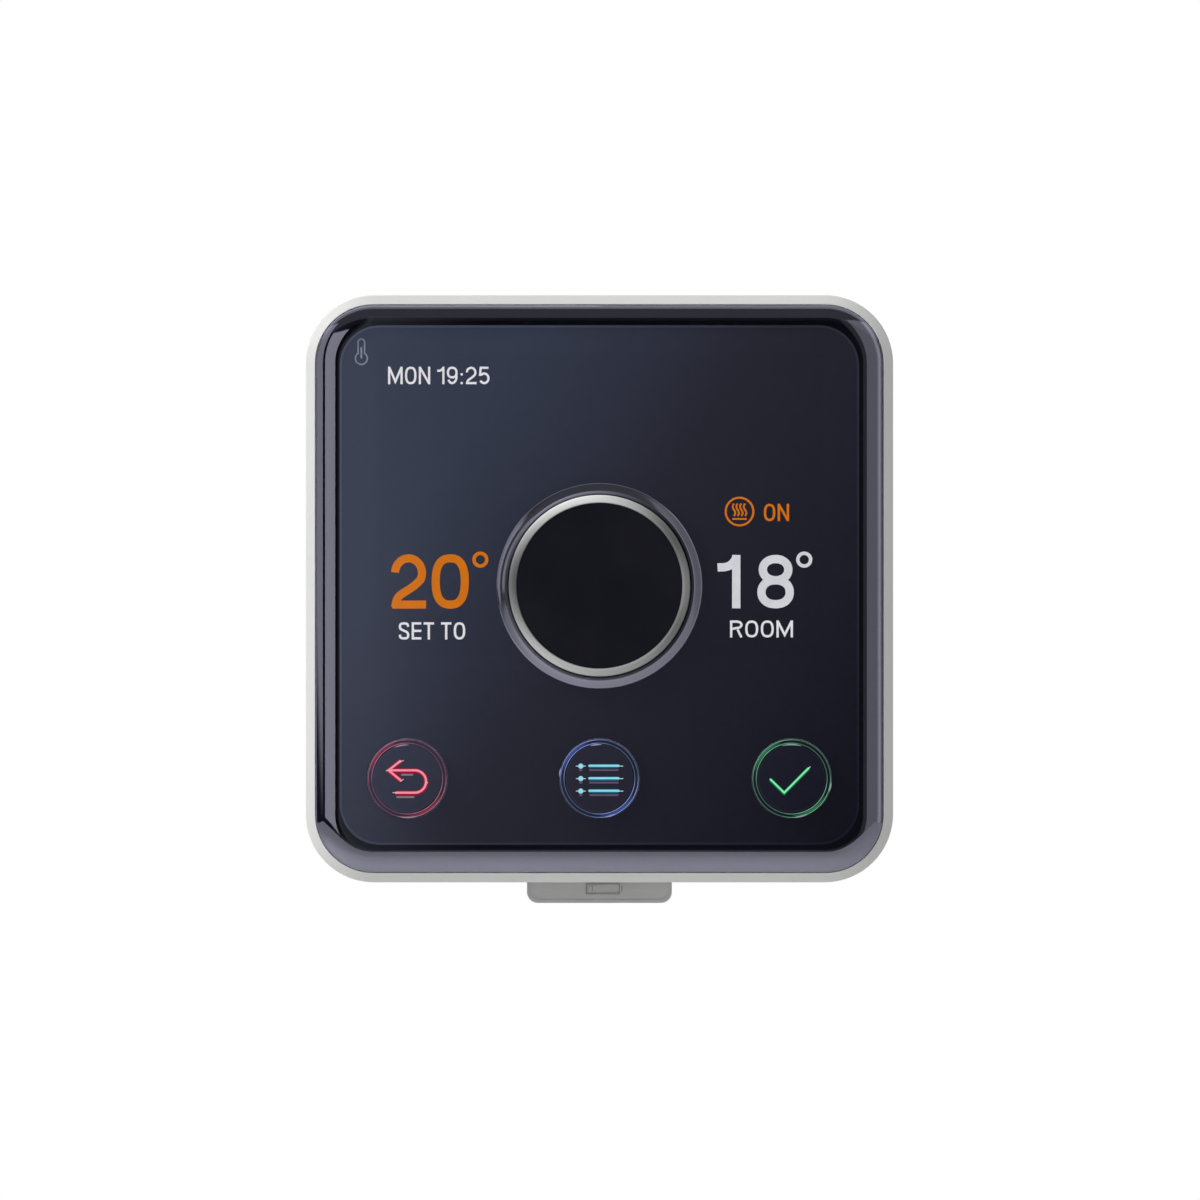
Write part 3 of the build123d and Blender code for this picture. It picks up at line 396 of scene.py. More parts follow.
def ink(name, color, spread=0.12):
    """Matt printing ink, laid a little unevenly."""
    material = new_material(name, color, 0.6, Specular_IOR_Level=0.0)
    thin, thick = ([c * (1 + sign * spread) for c in color] for sign in (-1, 1))
    tint(material, noise(material, 2500.0, 3.0), thin, thick)
    return material


def lit(name, color, strength=1.0):
    """A lit mark: its own colour, glowing a little unevenly."""
    material = new_material(name, [c * 0.05 for c in color], 0.4, Specular_IOR_Level=0.0)
    shader = shader_of(material)
    shader.inputs["Emission Color"].default_value = (*color, 1.0)
    pattern = noise(material, 700.0, 2.0)
    uneven = between(material, pattern, strength * 0.95, strength * 1.05)
    link(material, uneven, shader.inputs["Emission Strength"])
    return material


def lit_ring(name, dull, bright, centre, highlight_angle):
    """A thin lit ring that glows all round, brighter with a painted highlight on the two sides along the
    highlight angle.
    """
    material = new_material(name, [c * 0.05 for c in dull], 0.4, Specular_IOR_Level=0.0)
    shader = shader_of(material)
    offset = vector_maths(material, "SUBTRACT", position(material), centre)
    flat = vector_maths(material, "MULTIPLY", offset, (1.0, 0.0, 1.0))
    outward = vector_maths(material, "NORMALIZE", flat)
    highlight_direction = (math.cos(highlight_angle), 0.0, math.sin(highlight_angle))
    along = vector_maths(material, "DOT_PRODUCT", outward, highlight_direction)
    size = maths(material, "ABSOLUTE", along)
    # Dull glow all round, with painted highlights where the ring faces along the angle.
    colors = color_ramp(material, size, ((0.55, dull), (0.95, bright)))
    link(material, colors, shader.inputs["Emission Color"])
    flicker = between(material, noise(material, 900.0, 2.0), 0.85, 1.15)
    link(material, flicker, shader.inputs["Emission Strength"])
    return material


# Painted light: the dark face glows faintly with its painted colour, which also keeps shadows on it faint, so
# only part of its colour is matt.
FACE_PAINTED_GLOW = 0.76
FACE_MATT = 0.45
# How much the painted reflection's tone falls from the face's left to its right, and how much it rises from
# bottom to top.
FACE_ACROSS = -0.62
FACE_UP = 0.38
# The face's painted reflection tones, from the lower right corner to the upper left: near black, charcoal,
# then slate blue.
FACE_REFLECTION_TONES = (
    (0.0, (0.004, 0.004, 0.01)),
    (0.5, (0.025, 0.025, 0.04)),
    (0.75, (0.045, 0.055, 0.09)),
)


def painted_reflection_gradient(material, gain=1.0):
    """The window's dark colour with a painted reflection of the studio light: slate blue at the upper left,
    near black at the lower right, glowing in part.
    """
    place = split(material, position(material))
    side = 2 * LENS_HALF
    across = maths(material, "MULTIPLY", place["X"], FACE_ACROSS / side)
    slope = maths(material, "MULTIPLY_ADD", place["Z"], FACE_UP / side, across)
    mottle = between(material, noise(material, 900.0, 3.0), 0.49, 0.51)
    tone = maths(material, "ADD", slope, mottle)
    stops = [(place, [c * gain for c in color]) for place, color in FACE_REFLECTION_TONES]
    colors = color_ramp(material, tone, stops)
    shader = shader_of(material)
    matt = add_node(material, "ShaderNodeVectorMath", operation="SCALE")
    matt.inputs["Scale"].default_value = FACE_MATT
    link(material, colors, matt.inputs["Vector"])
    link(material, matt.outputs["Vector"], shader.inputs["Base Color"])
    # The painted reflection glows as well as being matt.
    link(material, colors, shader.inputs["Emission Color"])
    shader.inputs["Emission Strength"].default_value = FACE_PAINTED_GLOW


# ------------------------------------------------------------------ materials

# The window and the parts beside it carry a half-mirror coating, which reflects a quarter of the light.
MIRROR_IOR = 3.4
MIRROR_TINT = (0.8, 0.8, 1.0, 1.0)


def clear_window(name):
    """Clear coated acrylic: it lets light straight through and reflects a cool tint off its front surface."""
    material = bpy.data.materials.new(name)
    material.use_nodes = True
    material.node_tree.nodes.clear()
    through = add_node(material, "ShaderNodeBsdfTransparent")
    mirror = add_node(material, "ShaderNodeBsdfGlossy")
    mirror.inputs["Color"].default_value = MIRROR_TINT
    polish = between(material, noise(material, 40.0, 2.0), 0.01, 0.03)
    link(material, polish, mirror.inputs["Roughness"])
    fresnel = add_node(material, "ShaderNodeFresnel")
    fresnel.inputs["IOR"].default_value = MIRROR_IOR
    side = add_node(material, "ShaderNodeNewGeometry")
    outside = maths(material, "SUBTRACT", 1.0, side.outputs["Backfacing"])
    share = maths(material, "MULTIPLY", fresnel.outputs["Fac"], outside)
    mix = add_node(material, "ShaderNodeMixShader")
    link(material, share, mix.inputs["Fac"])
    link(material, through.outputs["BSDF"], mix.inputs[1])
    link(material, mirror.outputs["BSDF"], mix.inputs[2])
    output = add_node(material, "ShaderNodeOutputMaterial")
    link(material, mix.outputs["Shader"], output.inputs["Surface"])
    return material


window_clear = clear_window("window_clear")
# The dark film carries the painted reflection gradient and its painted glow.
film_dark = new_material("film_dark", (0.02, 0.02, 0.03), 0.5, Specular_IOR_Level=0.0)
painted_reflection_gradient(film_dark)
# The display filter carries the same painted reflection and glow, a little darker.
filter_dark = new_material("filter_dark", (0.02, 0.02, 0.03), 0.5, Specular_IOR_Level=0.0)
painted_reflection_gradient(filter_dark, 0.96)
# A fine painted highlight line just inside the printed border: the painted reflection made brighter.
painted_edge_line = new_material("painted_edge_line", (0.02, 0.02, 0.03), 0.5, Specular_IOR_Level=0.0)
painted_reflection_gradient(painted_edge_line, 1.6)
print_black = ink("print_black", (0.005, 0.0055, 0.012))
display_dark = gloss("display_dark", (0.012, 0.012, 0.016), 0.2)
housing_white = plastic("housing_white", (0.74, 0.74, 0.73), 0.42, spread=0.012)
trim_satin = plastic("trim_satin", (0.66, 0.66, 0.65), 0.3, grain=6000.0, depth=0.003 * MM, spread=0.015)
plate_white = plastic("plate_white", (0.78, 0.78, 0.76), 0.48, spread=0.012)
black_plastic = plastic("black_plastic", (0.012, 0.012, 0.014), 0.5)
collar_gloss = gloss("collar_gloss", (0.016, 0.016, 0.022), 0.13, IOR=MIRROR_IOR, Specular_Tint=MIRROR_TINT)
cap_gloss = gloss("cap_gloss", (0.0085, 0.0088, 0.0135), 0.16)
tray_grey = plastic("tray_grey", (0.42, 0.42, 0.42), 0.45)
tab_grey = plastic("tab_grey", (0.56, 0.56, 0.56), 0.4)
# Painted shade for the corners of the tab's raised sign, laid with the ink recipe.
tab_shade = ink("tab_shade", (0.32, 0.32, 0.32))
steel = metal("steel", (0.55, 0.55, 0.57), 0.3)
nickel = metal("nickel", (0.62, 0.58, 0.5), 0.25)
board_green = plastic("board_green", (0.01, 0.09, 0.04), 0.35)
jacket = gloss("jacket", (0.03, 0.09, 0.15), 0.25)
foam = plastic("foam", (0.008, 0.008, 0.008), 0.9, grain=2500.0, depth=0.05 * MM)
amber_film = gloss("amber_film", (0.45, 0.16, 0.02), 0.25)
diffuser = plastic("diffuser", (0.8, 0.8, 0.82), 0.5)
lamp_clear = gloss("lamp_clear", (0.7, 0.7, 0.6), 0.15)
text_white = lit("text_white", (0.96, 0.96, 1.0), 1.0)
text_orange = lit("text_orange", (0.82, 0.215, 0.008), 0.97)
text_grey = lit("text_grey", (0.84, 0.84, 0.89), 1.0)
print_pale = ink("print_pale", (0.36, 0.42, 0.52))

MATERIAL_NODES = (
    (plate_white, ("wall_plate",)),
    (housing_white, ("rear_housing",)),
    (trim_satin, ("trim_frame",)),
    (foam, ("lens_gasket",)),
    (film_dark, ("mirror_film",)),
    (board_green, ("main_board", "radio_board")),
    (steel, ("chassis_screws", "board_screws", "radio_can", "encoder_shaft", "capacitors", "dial_ring")),
    (nickel, ("bay_contacts", "contact_plates", "leaf_springs", "outlet_contacts")),
    (display_dark, ("left_display", "right_display")),
    (diffuser, ("left_backlight", "right_backlight")),
    (amber_film, ("display_tails",)),
    (tray_grey, ("battery_tray",)),
    (tab_grey, ("battery_tab",)),
    (collar_gloss, ("dial_collar",)),
    (cap_gloss, ("dial_cap",)),
    (jacket, ("battery_1", "battery_2", "battery_3", "battery_4")),
    (lamp_clear, tuple(f"{button_name}_lamps" for button_name in BUTTONS)),
)
# every node that isn't listed is black plastic
NODE_MATERIALS = {node: material for material, nodes in MATERIAL_NODES for node in nodes}
for node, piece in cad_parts.items():
    piece.data.materials.clear()
    piece.data.materials.append(NODE_MATERIALS.get(node, black_plastic))


# ------------------------------------------------------------------ window


# A strip this wide beside every rolled edge is flat, so the flat face keeps straight normals.
FLAT_MARGIN = 0.2 * MM


def hole_rim(radius):
    """A hole's edge, from the front face round a tiny rolled edge and down to the back face."""
    roll = 0.08 * MM
    steps = 6
    rim = [(radius + roll + FLAT_MARGIN, LENS_FRONT)]
    for step in range(steps + 1):
        angle = math.pi / 2 * step / steps
        rim.append((radius + roll * (1 - math.sin(angle)), LENS_FRONT + roll * (1 - math.cos(angle))))
    return rim + [(radius, LENS_BACK)]


def build_window():
    """The clear window: a flat face that rolls over in a quarter ellipse, with four round holes."""
    vertices, faces = [], []
    outline_steps = 28
    rings = [(EDGE_RUN + FLAT_MARGIN, LENS_FRONT)]
    for step in range(outline_steps + 1):
        turn = math.pi / 2 * (1 - step / outline_steps)
        inset = EDGE_RUN * (1 - math.cos(turn))
        y = LENS_FRONT + EDGE_DROP * (1 - math.sin(turn))
        rings.append((inset, y))
    rings.append((0.0, LENS_BACK))
    count = 0
    starts = []
    for inset, y in rings:
        outline = rounded_square(LENS_HALF - inset, LENS_CORNER - inset)
        count = len(outline)
        starts.append(len(vertices))
        vertices += [(x, y, z) for x, z in outline]
    for first, second in zip(starts, starts[1:]):
        faces += stitch(first, second, count)
    front_loops = [list(range(starts[0], starts[0] + count))]
    back_loops = [list(range(starts[-1], starts[-1] + count))]
    holes = [(DIAL, DIAL_HOLE)] + [(spot, BUTTON_HOLE) for spot in BUTTONS.values()]
    for spot, radius in holes:
        segments = 160 if radius == DIAL_HOLE else 96
        rows = []
        for reach, y in hole_rim(radius):
            rows.append(len(vertices))
            vertices += [(x, y, z) for x, z in circle(spot, reach, segments)]
        for first, second in zip(rows, rows[1:]):
            faces += stitch(second, first, segments)
        front_loops.append(list(range(rows[0], rows[0] + segments)))
        back_loops.append(list(range(rows[-1], rows[-1] + segments)))
    for loops in (front_loops, back_loops):
        flat = [[Vector((vertices[i][0], vertices[i][2], 0)) for i in loop] for loop in loops]
        order = [i for loop in loops for i in loop]
        faces += [tuple(order[k] for k in triangle) for triangle in tessellate_polygon(flat)]
    piece = make_piece("window", vertices, faces, "case", window_clear)
    tidy_normals(piece)
    piece.visible_shadow = False
    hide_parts("front_lens")


build_window()


def flat_shape(name, loops, front, back, body, material):
    """A flat plate between two depths, from an outer loop and any holes in it."""
    vertices, faces = [], []
    starts = []
    for y in (front, back):
        for loop in loops:
            starts.append(len(vertices))
            vertices += [(x, y, z) for x, z in loop]
    flat = [[Vector((x, z, 0)) for x, z in loop] for loop in loops]
    total = len(vertices) // 2
    for triangle in tessellate_polygon(flat):
        faces += [triangle, tuple(k + total for k in reversed(triangle))]
    for index, loop in enumerate(loops):
        faces += stitch(starts[index], starts[index + len(loops)], len(loop))
    piece = make_piece(name, vertices, faces, body, material)
    tidy_normals(piece)
    return piece


def build_rim_lining():
    """A thin black lining just under the window's rolled rim, open at the back."""
    gap = 0.1 * MM
    thickness = 0.06 * MM
    reach = 0.62
    steps = 16
    profile = []
    for step in range(steps + 1):
        turn = math.acos(1 - reach * step / steps)
        depth = LENS_FRONT + EDGE_DROP * (1 - math.sin(turn))
        profile.append((gap + EDGE_RUN * (1 - math.cos(turn)), depth + gap))
    outer = [(gap, LENS_BACK - gap), *profile]
    inner = [(inset + thickness, y + thickness) for inset, y in outer]
    vertices, faces, starts = [], [], []
    for inset, y in [*outer, *inner[::-1]]:
        outline = rounded_square(LENS_HALF - inset, LENS_CORNER - inset)
        starts.append(len(vertices))
        vertices += [(x, min(y, LENS_BACK - 0.02 * MM), z) for x, z in outline]
    count = len(outline)
    for first, second in zip(starts, starts[1:] + starts[:1]):
        faces += stitch(first, second, count)
    lining = make_piece("rim_lining", vertices, faces, "case", print_black)
    tidy_normals(lining)


build_rim_lining()


def build_face_layers():
    """The black printed border, a fine painted highlight line inside it, and the smoked filter over the two
    displays.
    """
    line_width = 0.38 * MM
    outer = rounded_square(LENS_HALF - 0.06 * MM, LENS_CORNER - 0.06 * MM)
    inner, line_inner = [
        [(x, z + FACE_RISE) for x, z in rounded_square(FACE_HALF - inset, FACE_CORNER - inset)]
        for inset in (0.0, line_width)
    ]
    flat_shape("border_print", [outer, inner], PRINT_FRONT, FILM_FRONT, "case", print_black)
    # The painted highlight line lies just in front of the film.
    line_front = FILM_FRONT - 0.02 * MM
    line = [inner, line_inner]
    flat_shape("painted_edge_line_strip", line, line_front, FILM_FRONT, "case", painted_edge_line)

    left, right, bottom, top = -37.5 * MM, 37.5 * MM, -11.25 * MM, 39.75 * MM
    reach = 16.9 * MM
    start = math.degrees(math.asin((bottom - DIAL.z) / reach))
    notch = arc(DIAL.x, DIAL.z, reach, reach, 180 - start, start, 96)
    outline = [(left, bottom), *notch, (right, bottom), (right, top), (left, top)]
    sheet_back = FILM_FRONT - 0.005 * MM
    flat_shape("display_filter", [outline], FILTER_FRONT, sheet_back, "case", filter_dark)


build_face_layers()


# ------------------------------------------------------------------ lettering on the displays

# Each glyph is drawn in a box of the given width and height, from strokes kept half a stroke inside it.


def glyph(letter, w, h, s):
    """Centre lines of one character, as (points, closed), in a box w wide and h high."""
    left, right, bottom, top = s / 2, w - s / 2, s / 2, h - s / 2
    middle = w / 2
    rx = (right - left) / 2
    if letter == "0" or letter == "O":
        return [(superellipse(middle, h / 2, rx, h / 2 - s / 2, 2.5), True)]
    if letter == "1":
        flag = smooth([(0.0, 0.765 * h), (0.36 * w, 0.775 * h), (0.60 * w, 0.82 * h), (right, 0.93 * h)])
        return [([(right, 0), (right, h)], False), (flag, False)]
    if letter == "2":
        bowl = arc(middle, h - s / 2 - 0.27 * h, rx, 0.27 * h, 178, -28)
        tail = smooth([bowl[-1], (0.62 * w, 0.40 * h), (0.22 * w, 0.22 * h), (left, 0.02 * h)])
        return [(bowl + tail[1:], False), ([(left * 0.3, bottom), (w, bottom)], False)]
    if letter == "5":
        bowl = arc(middle, 0.335 * h, rx, 0.335 * h - s / 2, 140, -152)
        return [
            ([(right, top), (0.17 * w, top)], False),
            ([(0.19 * w, h), (0.10 * w, 0.47 * h)], False),
            (bowl, False),
        ]
    if letter == "8":
        waist = 0.525 * h
        upper = superellipse(middle, (top + waist) / 2, rx * 0.9, (top - waist) / 2, 2.1)
        lower = superellipse(middle, (bottom + waist) / 2, rx, (waist - bottom) / 2, 2.2)
        return [(upper, True), (lower, True)]
    if letter == "9":
        bowl = superellipse(middle, 0.665 * h, rx, 0.335 * h - s / 2, 2.3)
        side = arc(middle, 0.44 * h, rx, 0.44 * h - s / 2, 12, -150)
        return [(bowl, True), ([(right, 0.66 * h)] + side, False)]
    if letter == "M":
        return [([(left, 0), (left, h)], False), ([(right, 0), (right, h)], False),
                ([(left, 0.98 * h), (middle, 0.15 * h), (right, 0.98 * h)], False)]
    if letter == "N":
        return [([(left, 0), (left, h)], False), ([(right, 0), (right, h)], False),
                ([(left, h * 0.96), (right, h * 0.04)], False)]
    if letter == "E":
        arms = [([(left, z), (w, z)], False) for z in (bottom, h / 2, top)]
        return [([(left, 0), (left, h)], False), *arms]
    if letter == "T":
        return [([(0, top), (w, top)], False), ([(middle, 0), (middle, h)], False)]
    if letter == "R":
        bend = arc(0.55 * w, 0.745 * h, right - 0.55 * w, 0.255 * h - s / 2, 90, -90)
        bowl = [(left, top), *bend, (left, 0.49 * h)]
        return [([(left, 0), (left, h)], False), (bowl, False), ([(0.6 * w, 0.47 * h), (right, 0)], False)]
    if letter == "S":
        spine = [
            (right, 0.74 * h), (0.80 * w, 0.90 * h), (middle, top), (0.2 * w, 0.89 * h),
            (left, 0.735 * h), (0.24 * w, 0.585 * h), (0.74 * w, 0.44 * h), (right, 0.27 * h),
            (0.8 * w, 0.10 * h), (middle, bottom), (0.18 * w, 0.11 * h), (left, 0.28 * h),
        ]
        return [(smooth(spine), False)]
    if letter == ":":
        return [([(middle, z), (middle, z + s * 1.05)], False) for z in (0.0, 0.5 * h)]
    return []


def superellipse(cx, cz, rx, rz, power, count=64):
    """A closed oval, squarer as the power rises above 2."""
    points = []
    for step in range(count):
        angle = 2 * math.pi * step / count
        c, s = math.cos(angle), math.sin(angle)
        x = cx + rx * math.copysign(abs(c) ** (2 / power), c)
        points.append((x, cz + rz * math.copysign(abs(s) ** (2 / power), s)))
    return points


WIDTHS = {
    "M": 1.25, "O": 0.98, "N": 0.98, "T": 0.88, "E": 0.82, "S": 0.9, "R": 0.95,
    "1": 0.62, ":": 0.3, " ": 0.2,
}


def lettering(name, text, left, base, height, width, stroke, material, gap=0.2):
    """One line of small capitals, spread to the given width."""
    units = [WIDTHS.get(letter, 0.92) for letter in text]
    unit = width / (sum(units) + gap * (len(text) - 1))
    strokes = []
    x = left
    for letter, share in zip(text, units):
        for path, closed in glyph(letter, share * unit, height, stroke):
            strokes.append(([(x + px, base + pz) for px, pz in path], closed))
        x += (share + gap) * unit
    return ribbons(name, strokes, stroke, FILTER_FRONT, 0.02 * MM, "case", material)


def number(name, parts, base, height, stroke, degree, material):
    """Large figures at their own places, and a degree ring."""
    strokes = []
    for letter, left, width in parts:
        for path, closed in glyph(letter, width, height, stroke):
            strokes.append(([(left + px, base + pz) for px, pz in path], closed))
    ribbons(name, strokes, stroke, FILTER_FRONT, 0.02 * MM, "case", material)
    ring = [(superellipse(degree[0], degree[1], 1.07 * MM, 1.07 * MM, 2.0), True)]
    ribbons(f"{name}_degree", ring, 0.58 * MM, FILTER_FRONT, 0.02 * MM, "case", material)


lettering("clock", "MON 19:25", -35.6 * MM, 34.45 * MM, 2.95 * MM, 17.1 * MM, 0.37 * MM, text_white)
set_figures = (("2", -35.1 * MM, 5.9 * MM), ("0", -28.25 * MM, 6.25 * MM))
set_degree = (-20.05 * MM, 4.9 * MM)
number("set_value", set_figures, -3.35 * MM, 9.15 * MM, 1.36 * MM, set_degree, text_orange)
lettering("set_label", "SET TO", -33.8 * MM, -8.55 * MM, 2.9 * MM, 11.2 * MM, 0.39 * MM, text_white)
room_figures = (("1", 19.9 * MM, 3.85 * MM), ("8", 26.6 * MM, 6.15 * MM))
room_degree = (34.5 * MM, 4.9 * MM)
number("room_value", room_figures, -3.3 * MM, 9.0 * MM, 1.4 * MM, room_degree, text_grey)
lettering("room_label", "ROOM", 22.0 * MM, -8.2 * MM, 2.85 * MM, 10.6 * MM, 0.39 * MM, text_white)
lettering("state_label", "ON", 27.7 * MM, 11.4 * MM, 2.9 * MM, 4.25 * MM, 0.40 * MM, text_orange)


def heat_sign():
    """A ring round four rising waves over a line."""
    centre_x, centre_z = 23.6 * MM, 13.0 * MM
    ring = [(superellipse(centre_x, centre_z, 2.33 * MM, 2.33 * MM, 2.0), True)]
    ribbons("heat_ring", ring, 0.34 * MM, FILTER_FRONT, 0.02 * MM, "case", text_orange)
    waves = []
    for index in range(4):
        x = centre_x + (index - 1.5) * 0.62 * MM
        wave = []
        for step in range(25):
            t = step / 24
            wave.append((x + 0.22 * MM * math.sin(2 * math.pi * t), centre_z - 0.75 * MM + 2.1 * MM * t))
        waves.append((wave, False))
    line_z = centre_z - 1.25 * MM
    waves.append(([(centre_x - 1.2 * MM, line_z), (centre_x + 1.2 * MM, line_z)], False))
    ribbons("heat_waves", waves, 0.3 * MM, FILTER_FRONT, 0.02 * MM, "case", text_orange)


heat_sign()


def thermometer_sign():
    """A small plain thermometer printed on the film in the upper left corner."""
    x, z = -40.1 * MM, 40.0 * MM
    stem = 0.55 * MM
    bulb = 1.0 * MM
    outline = arc(x, z + 1.5 * MM, stem, stem, 0, 180, 16)
    outline += arc(x, z - 1.2 * MM, bulb, bulb, 123, 417, 40)
    level = [([(x, z - 1.2 * MM), (x, z + 0.7 * MM)], False)]
    for name, strokes, width in (("corner_sign", [(outline, True)], 0.26), ("corner_sign_level", level, 0.3)):
        ribbons(name, strokes, width * MM, film_low.y, 0.01 * MM, "case", print_pale)


thermometer_sign()

# ------------------------------------------------------------------ dial


# Each painted sweep of light over the turned ring, a painted reflection in its base colour: its direction in
# degrees from +X towards +Z, how sharp it is (a power of the cosine away from that direction), and how
# strong.
PAINTED_SWEEP_BASE = 0.09
PAINTED_SWEEPS = (
    (105, 3, 0.8),
    (-130, 5, 0.45),
    (-75, 4, 0.25),
    (0, 12, 0.15),
)


def painted_light_sweep(material, outward, direction, sharpness, strength):
    """One lobe of painted brightness, a painted reflection, about a direction from the dial's axis."""
    turn = math.radians(direction)
    towards = vector_maths(material, "DOT_PRODUCT", outward, (math.cos(turn), math.sin(turn), 0.0))
    lobe = maths(material, "POWER", maths(material, "MAXIMUM", towards, 0.0), sharpness)
    return maths(material, "MULTIPLY", lobe, strength)


def turned_metal_painted_sheen(name):
    """Satin turned metal: fine grooves round the dial, with bright and dark sweeps of reflected light painted
    into its base colour.
    """
    material = new_material(name, (0.8, 0.8, 0.78), 0.3, 0.12, Anisotropic=0.6)
    shader = shader_of(material)
    tangent = add_node(material, "ShaderNodeTangent", direction_type="RADIAL", axis="Y")
    link(material, tangent.outputs["Tangent"], shader.inputs["Tangent"])
    place = split(material, position(material))
    flat = add_node(material, "ShaderNodeCombineXYZ")
    link(material, place["X"], flat.inputs["X"])
    link(material, maths(material, "SUBTRACT", place["Z"], DIAL.z), flat.inputs["Y"])
    reach = vector_maths(material, "LENGTH", flat.outputs["Vector"])
    outward = vector_maths(material, "NORMALIZE", flat.outputs["Vector"])
    total = (PAINTED_SWEEP_BASE, PAINTED_SWEEP_BASE, PAINTED_SWEEP_BASE)
    for direction, sharpness, strength in PAINTED_SWEEPS:
        lobe = painted_light_sweep(material, outward, direction, sharpness, strength)
        total = vector_maths(material, "ADD", total, lobe)
    # The painted sweeps of reflected light become the ring's base colour.
    link(material, total, shader.inputs["Base Color"])
    grooves = add_node(material, "ShaderNodeTexNoise", noise_dimensions="1D")
    grooves.inputs["Scale"].default_value = 9000.0
    grooves.inputs["Detail"].default_value = 3.0
    link(material, reach, grooves.inputs["W"])
    add_bump(material, grooves.outputs["Fac"], 0.003 * MM)
    return material


def build_dial():
    """The turned ring and the glossy collar round it, each turned on a lathe; the black disc inside it is the
    part from model.glb.
    """
    bore = (cap_high.x - cap_low.x) / 2
    rim = (ring_high.x - ring_low.x) / 2
    front = ring_low.y
    back = ring_high.y - 0.1 * MM
    ring_profile = [
        (bore, back),
        (bore, front + 0.34 * MM),
        (bore + 0.17 * MM, front + 0.08 * MM),
        (bore + 0.26 * MM, front + 0.02 * MM),
        (bore + 0.60 * MM, front),
        (rim - 0.30 * MM, front + 0.03 * MM),
        (rim - 0.12 * MM, front + 0.10 * MM),
        (rim - 0.03 * MM, front + 0.22 * MM),
        (rim, front + 0.40 * MM),
        (rim, back),
    ]
    # The ring's material has painted sweeps of reflected light in its base colour.
    satin = turned_metal_painted_sheen("turned_metal_painted_sheen")
    ring = lathe("turned_ring", DIAL, ring_profile, "dial", satin, 256)
    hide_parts("dial_ring")

    base = LENS_FRONT - 0.01 * MM
    edge = (collar_high.x - collar_low.x) / 2
    tube = DIAL_HOLE - 0.1 * MM
    collar_bore = rim + 0.16 * MM
    ridge = rim + 0.72 * MM
    collar_back = collar_high.y - 0.1 * MM
    collar_profile = [
        (edge, base),
        (edge, base - 0.16 * MM),
        (edge - 0.03 * MM, base - 0.29 * MM),
        (edge - 0.10 * MM, base - 0.39 * MM),
        (edge - 0.20 * MM, base - 0.46 * MM),
        (edge - 0.32 * MM, base - 0.50 * MM),
        (ridge + 0.16 * MM, base - 0.66 * MM),
        (ridge + 0.07 * MM, base - 0.74 * MM),
        (ridge, base - 0.77 * MM),
        (ridge - 0.07 * MM, base - 0.74 * MM),
        (collar_bore + 0.06 * MM, base - 0.40 * MM),
        (collar_bore, base - 0.30 * MM),
        (collar_bore, base + 0.20 * MM),
        (rim + 0.7 * MM, base + 0.30 * MM),
        (rim + 0.7 * MM, collar_back),
        (tube, collar_back),
        (tube, base),
    ]
    collar = lathe("gloss_collar", DIAL, collar_profile, "case", collar_gloss, 256)
    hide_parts("dial_collar")


build_dial()

# ------------------------------------------------------------------ lit buttons

# For each button: its rings' glow where they are dull and their painted highlight where they are bright, the
# painted highlight glowing between the rings, and the edge of its sign's glow and its lighter middle, a
# painted highlight.
GLOWS = {
    "back": (
        (0.19, 0.055, 0.10), (0.52, 0.17, 0.25), (0.27, 0.03, 0.06), (0.34, 0.006, 0.030), (0.86, 0.26, 0.34),
    ),
    "menu": (
        (0.08, 0.13, 0.27), (0.24, 0.36, 0.80), (0.05, 0.08, 0.34), (0.010, 0.13, 0.22), (0.26, 0.68, 0.76),
    ),
    "confirm": (
        (0.07, 0.19, 0.12), (0.17, 0.50, 0.30), (0.025, 0.2, 0.07), (0.006, 0.16, 0.045), (0.20, 0.84, 0.42),
    ),
}
# The colour of the painted glints on the buttons' rings.
GLINT = (0.36, 0.33, 0.38)
# Where each button's rings carry painted glints, glowing crescents in place of caught light: distance out,
# direction and spread in degrees.
GLINT_SPOTS = {
    "back": ((5.66, 100, 26), (6.52, 272, 34)),
    "menu": ((5.72, 96, 20), (6.72, 171, 13), (6.52, 287, 24)),
    "confirm": ((5.72, 90, 34), (6.66, 348, 15), (6.52, 284, 28)),
}
# Colours of the painted reflections that glow under the signs' level strokes.
GHOSTS = {"back": (0.25, 0.16, 0.18), "menu": (0.11, 0.075, 0.13)}
GHOST_DROP = 0.68
# How far up the painted highlight down each sign's middle is lifted, in mm.
CORE_HIGHLIGHT_LIFT = 0.06
# The direction of the button rings' painted highlights.
RING_HIGHLIGHT_ANGLE = math.radians(132)
MENU_ROWS = (2.1, 0.0, -2.1)
MENU_DOT = (-3.13, 0.43)


def sign_strokes(button_name):
    """The centre lines of a button's sign, in mm about the button's middle, and their width."""
    if button_name == "back":
        shaft = [(-3.0, 1.33), (1.3, 1.33)] + arc(1.3, -0.55, 1.88, 1.88, 90, -90)[1:] + [(-2.05, -2.43)]
        return [(shaft, False), ([(-1.0, 3.0), (-3.12, 1.33), (-1.0, -0.42)], False)], 0.75
    if button_name == "menu":
        return [([(-1.87, z), (3.38, z)], False) for z in MENU_ROWS], 0.68
    return [([(-3.67, -0.08), (-1.26, -2.44), (2.93, 1.80)], False)], 0.6


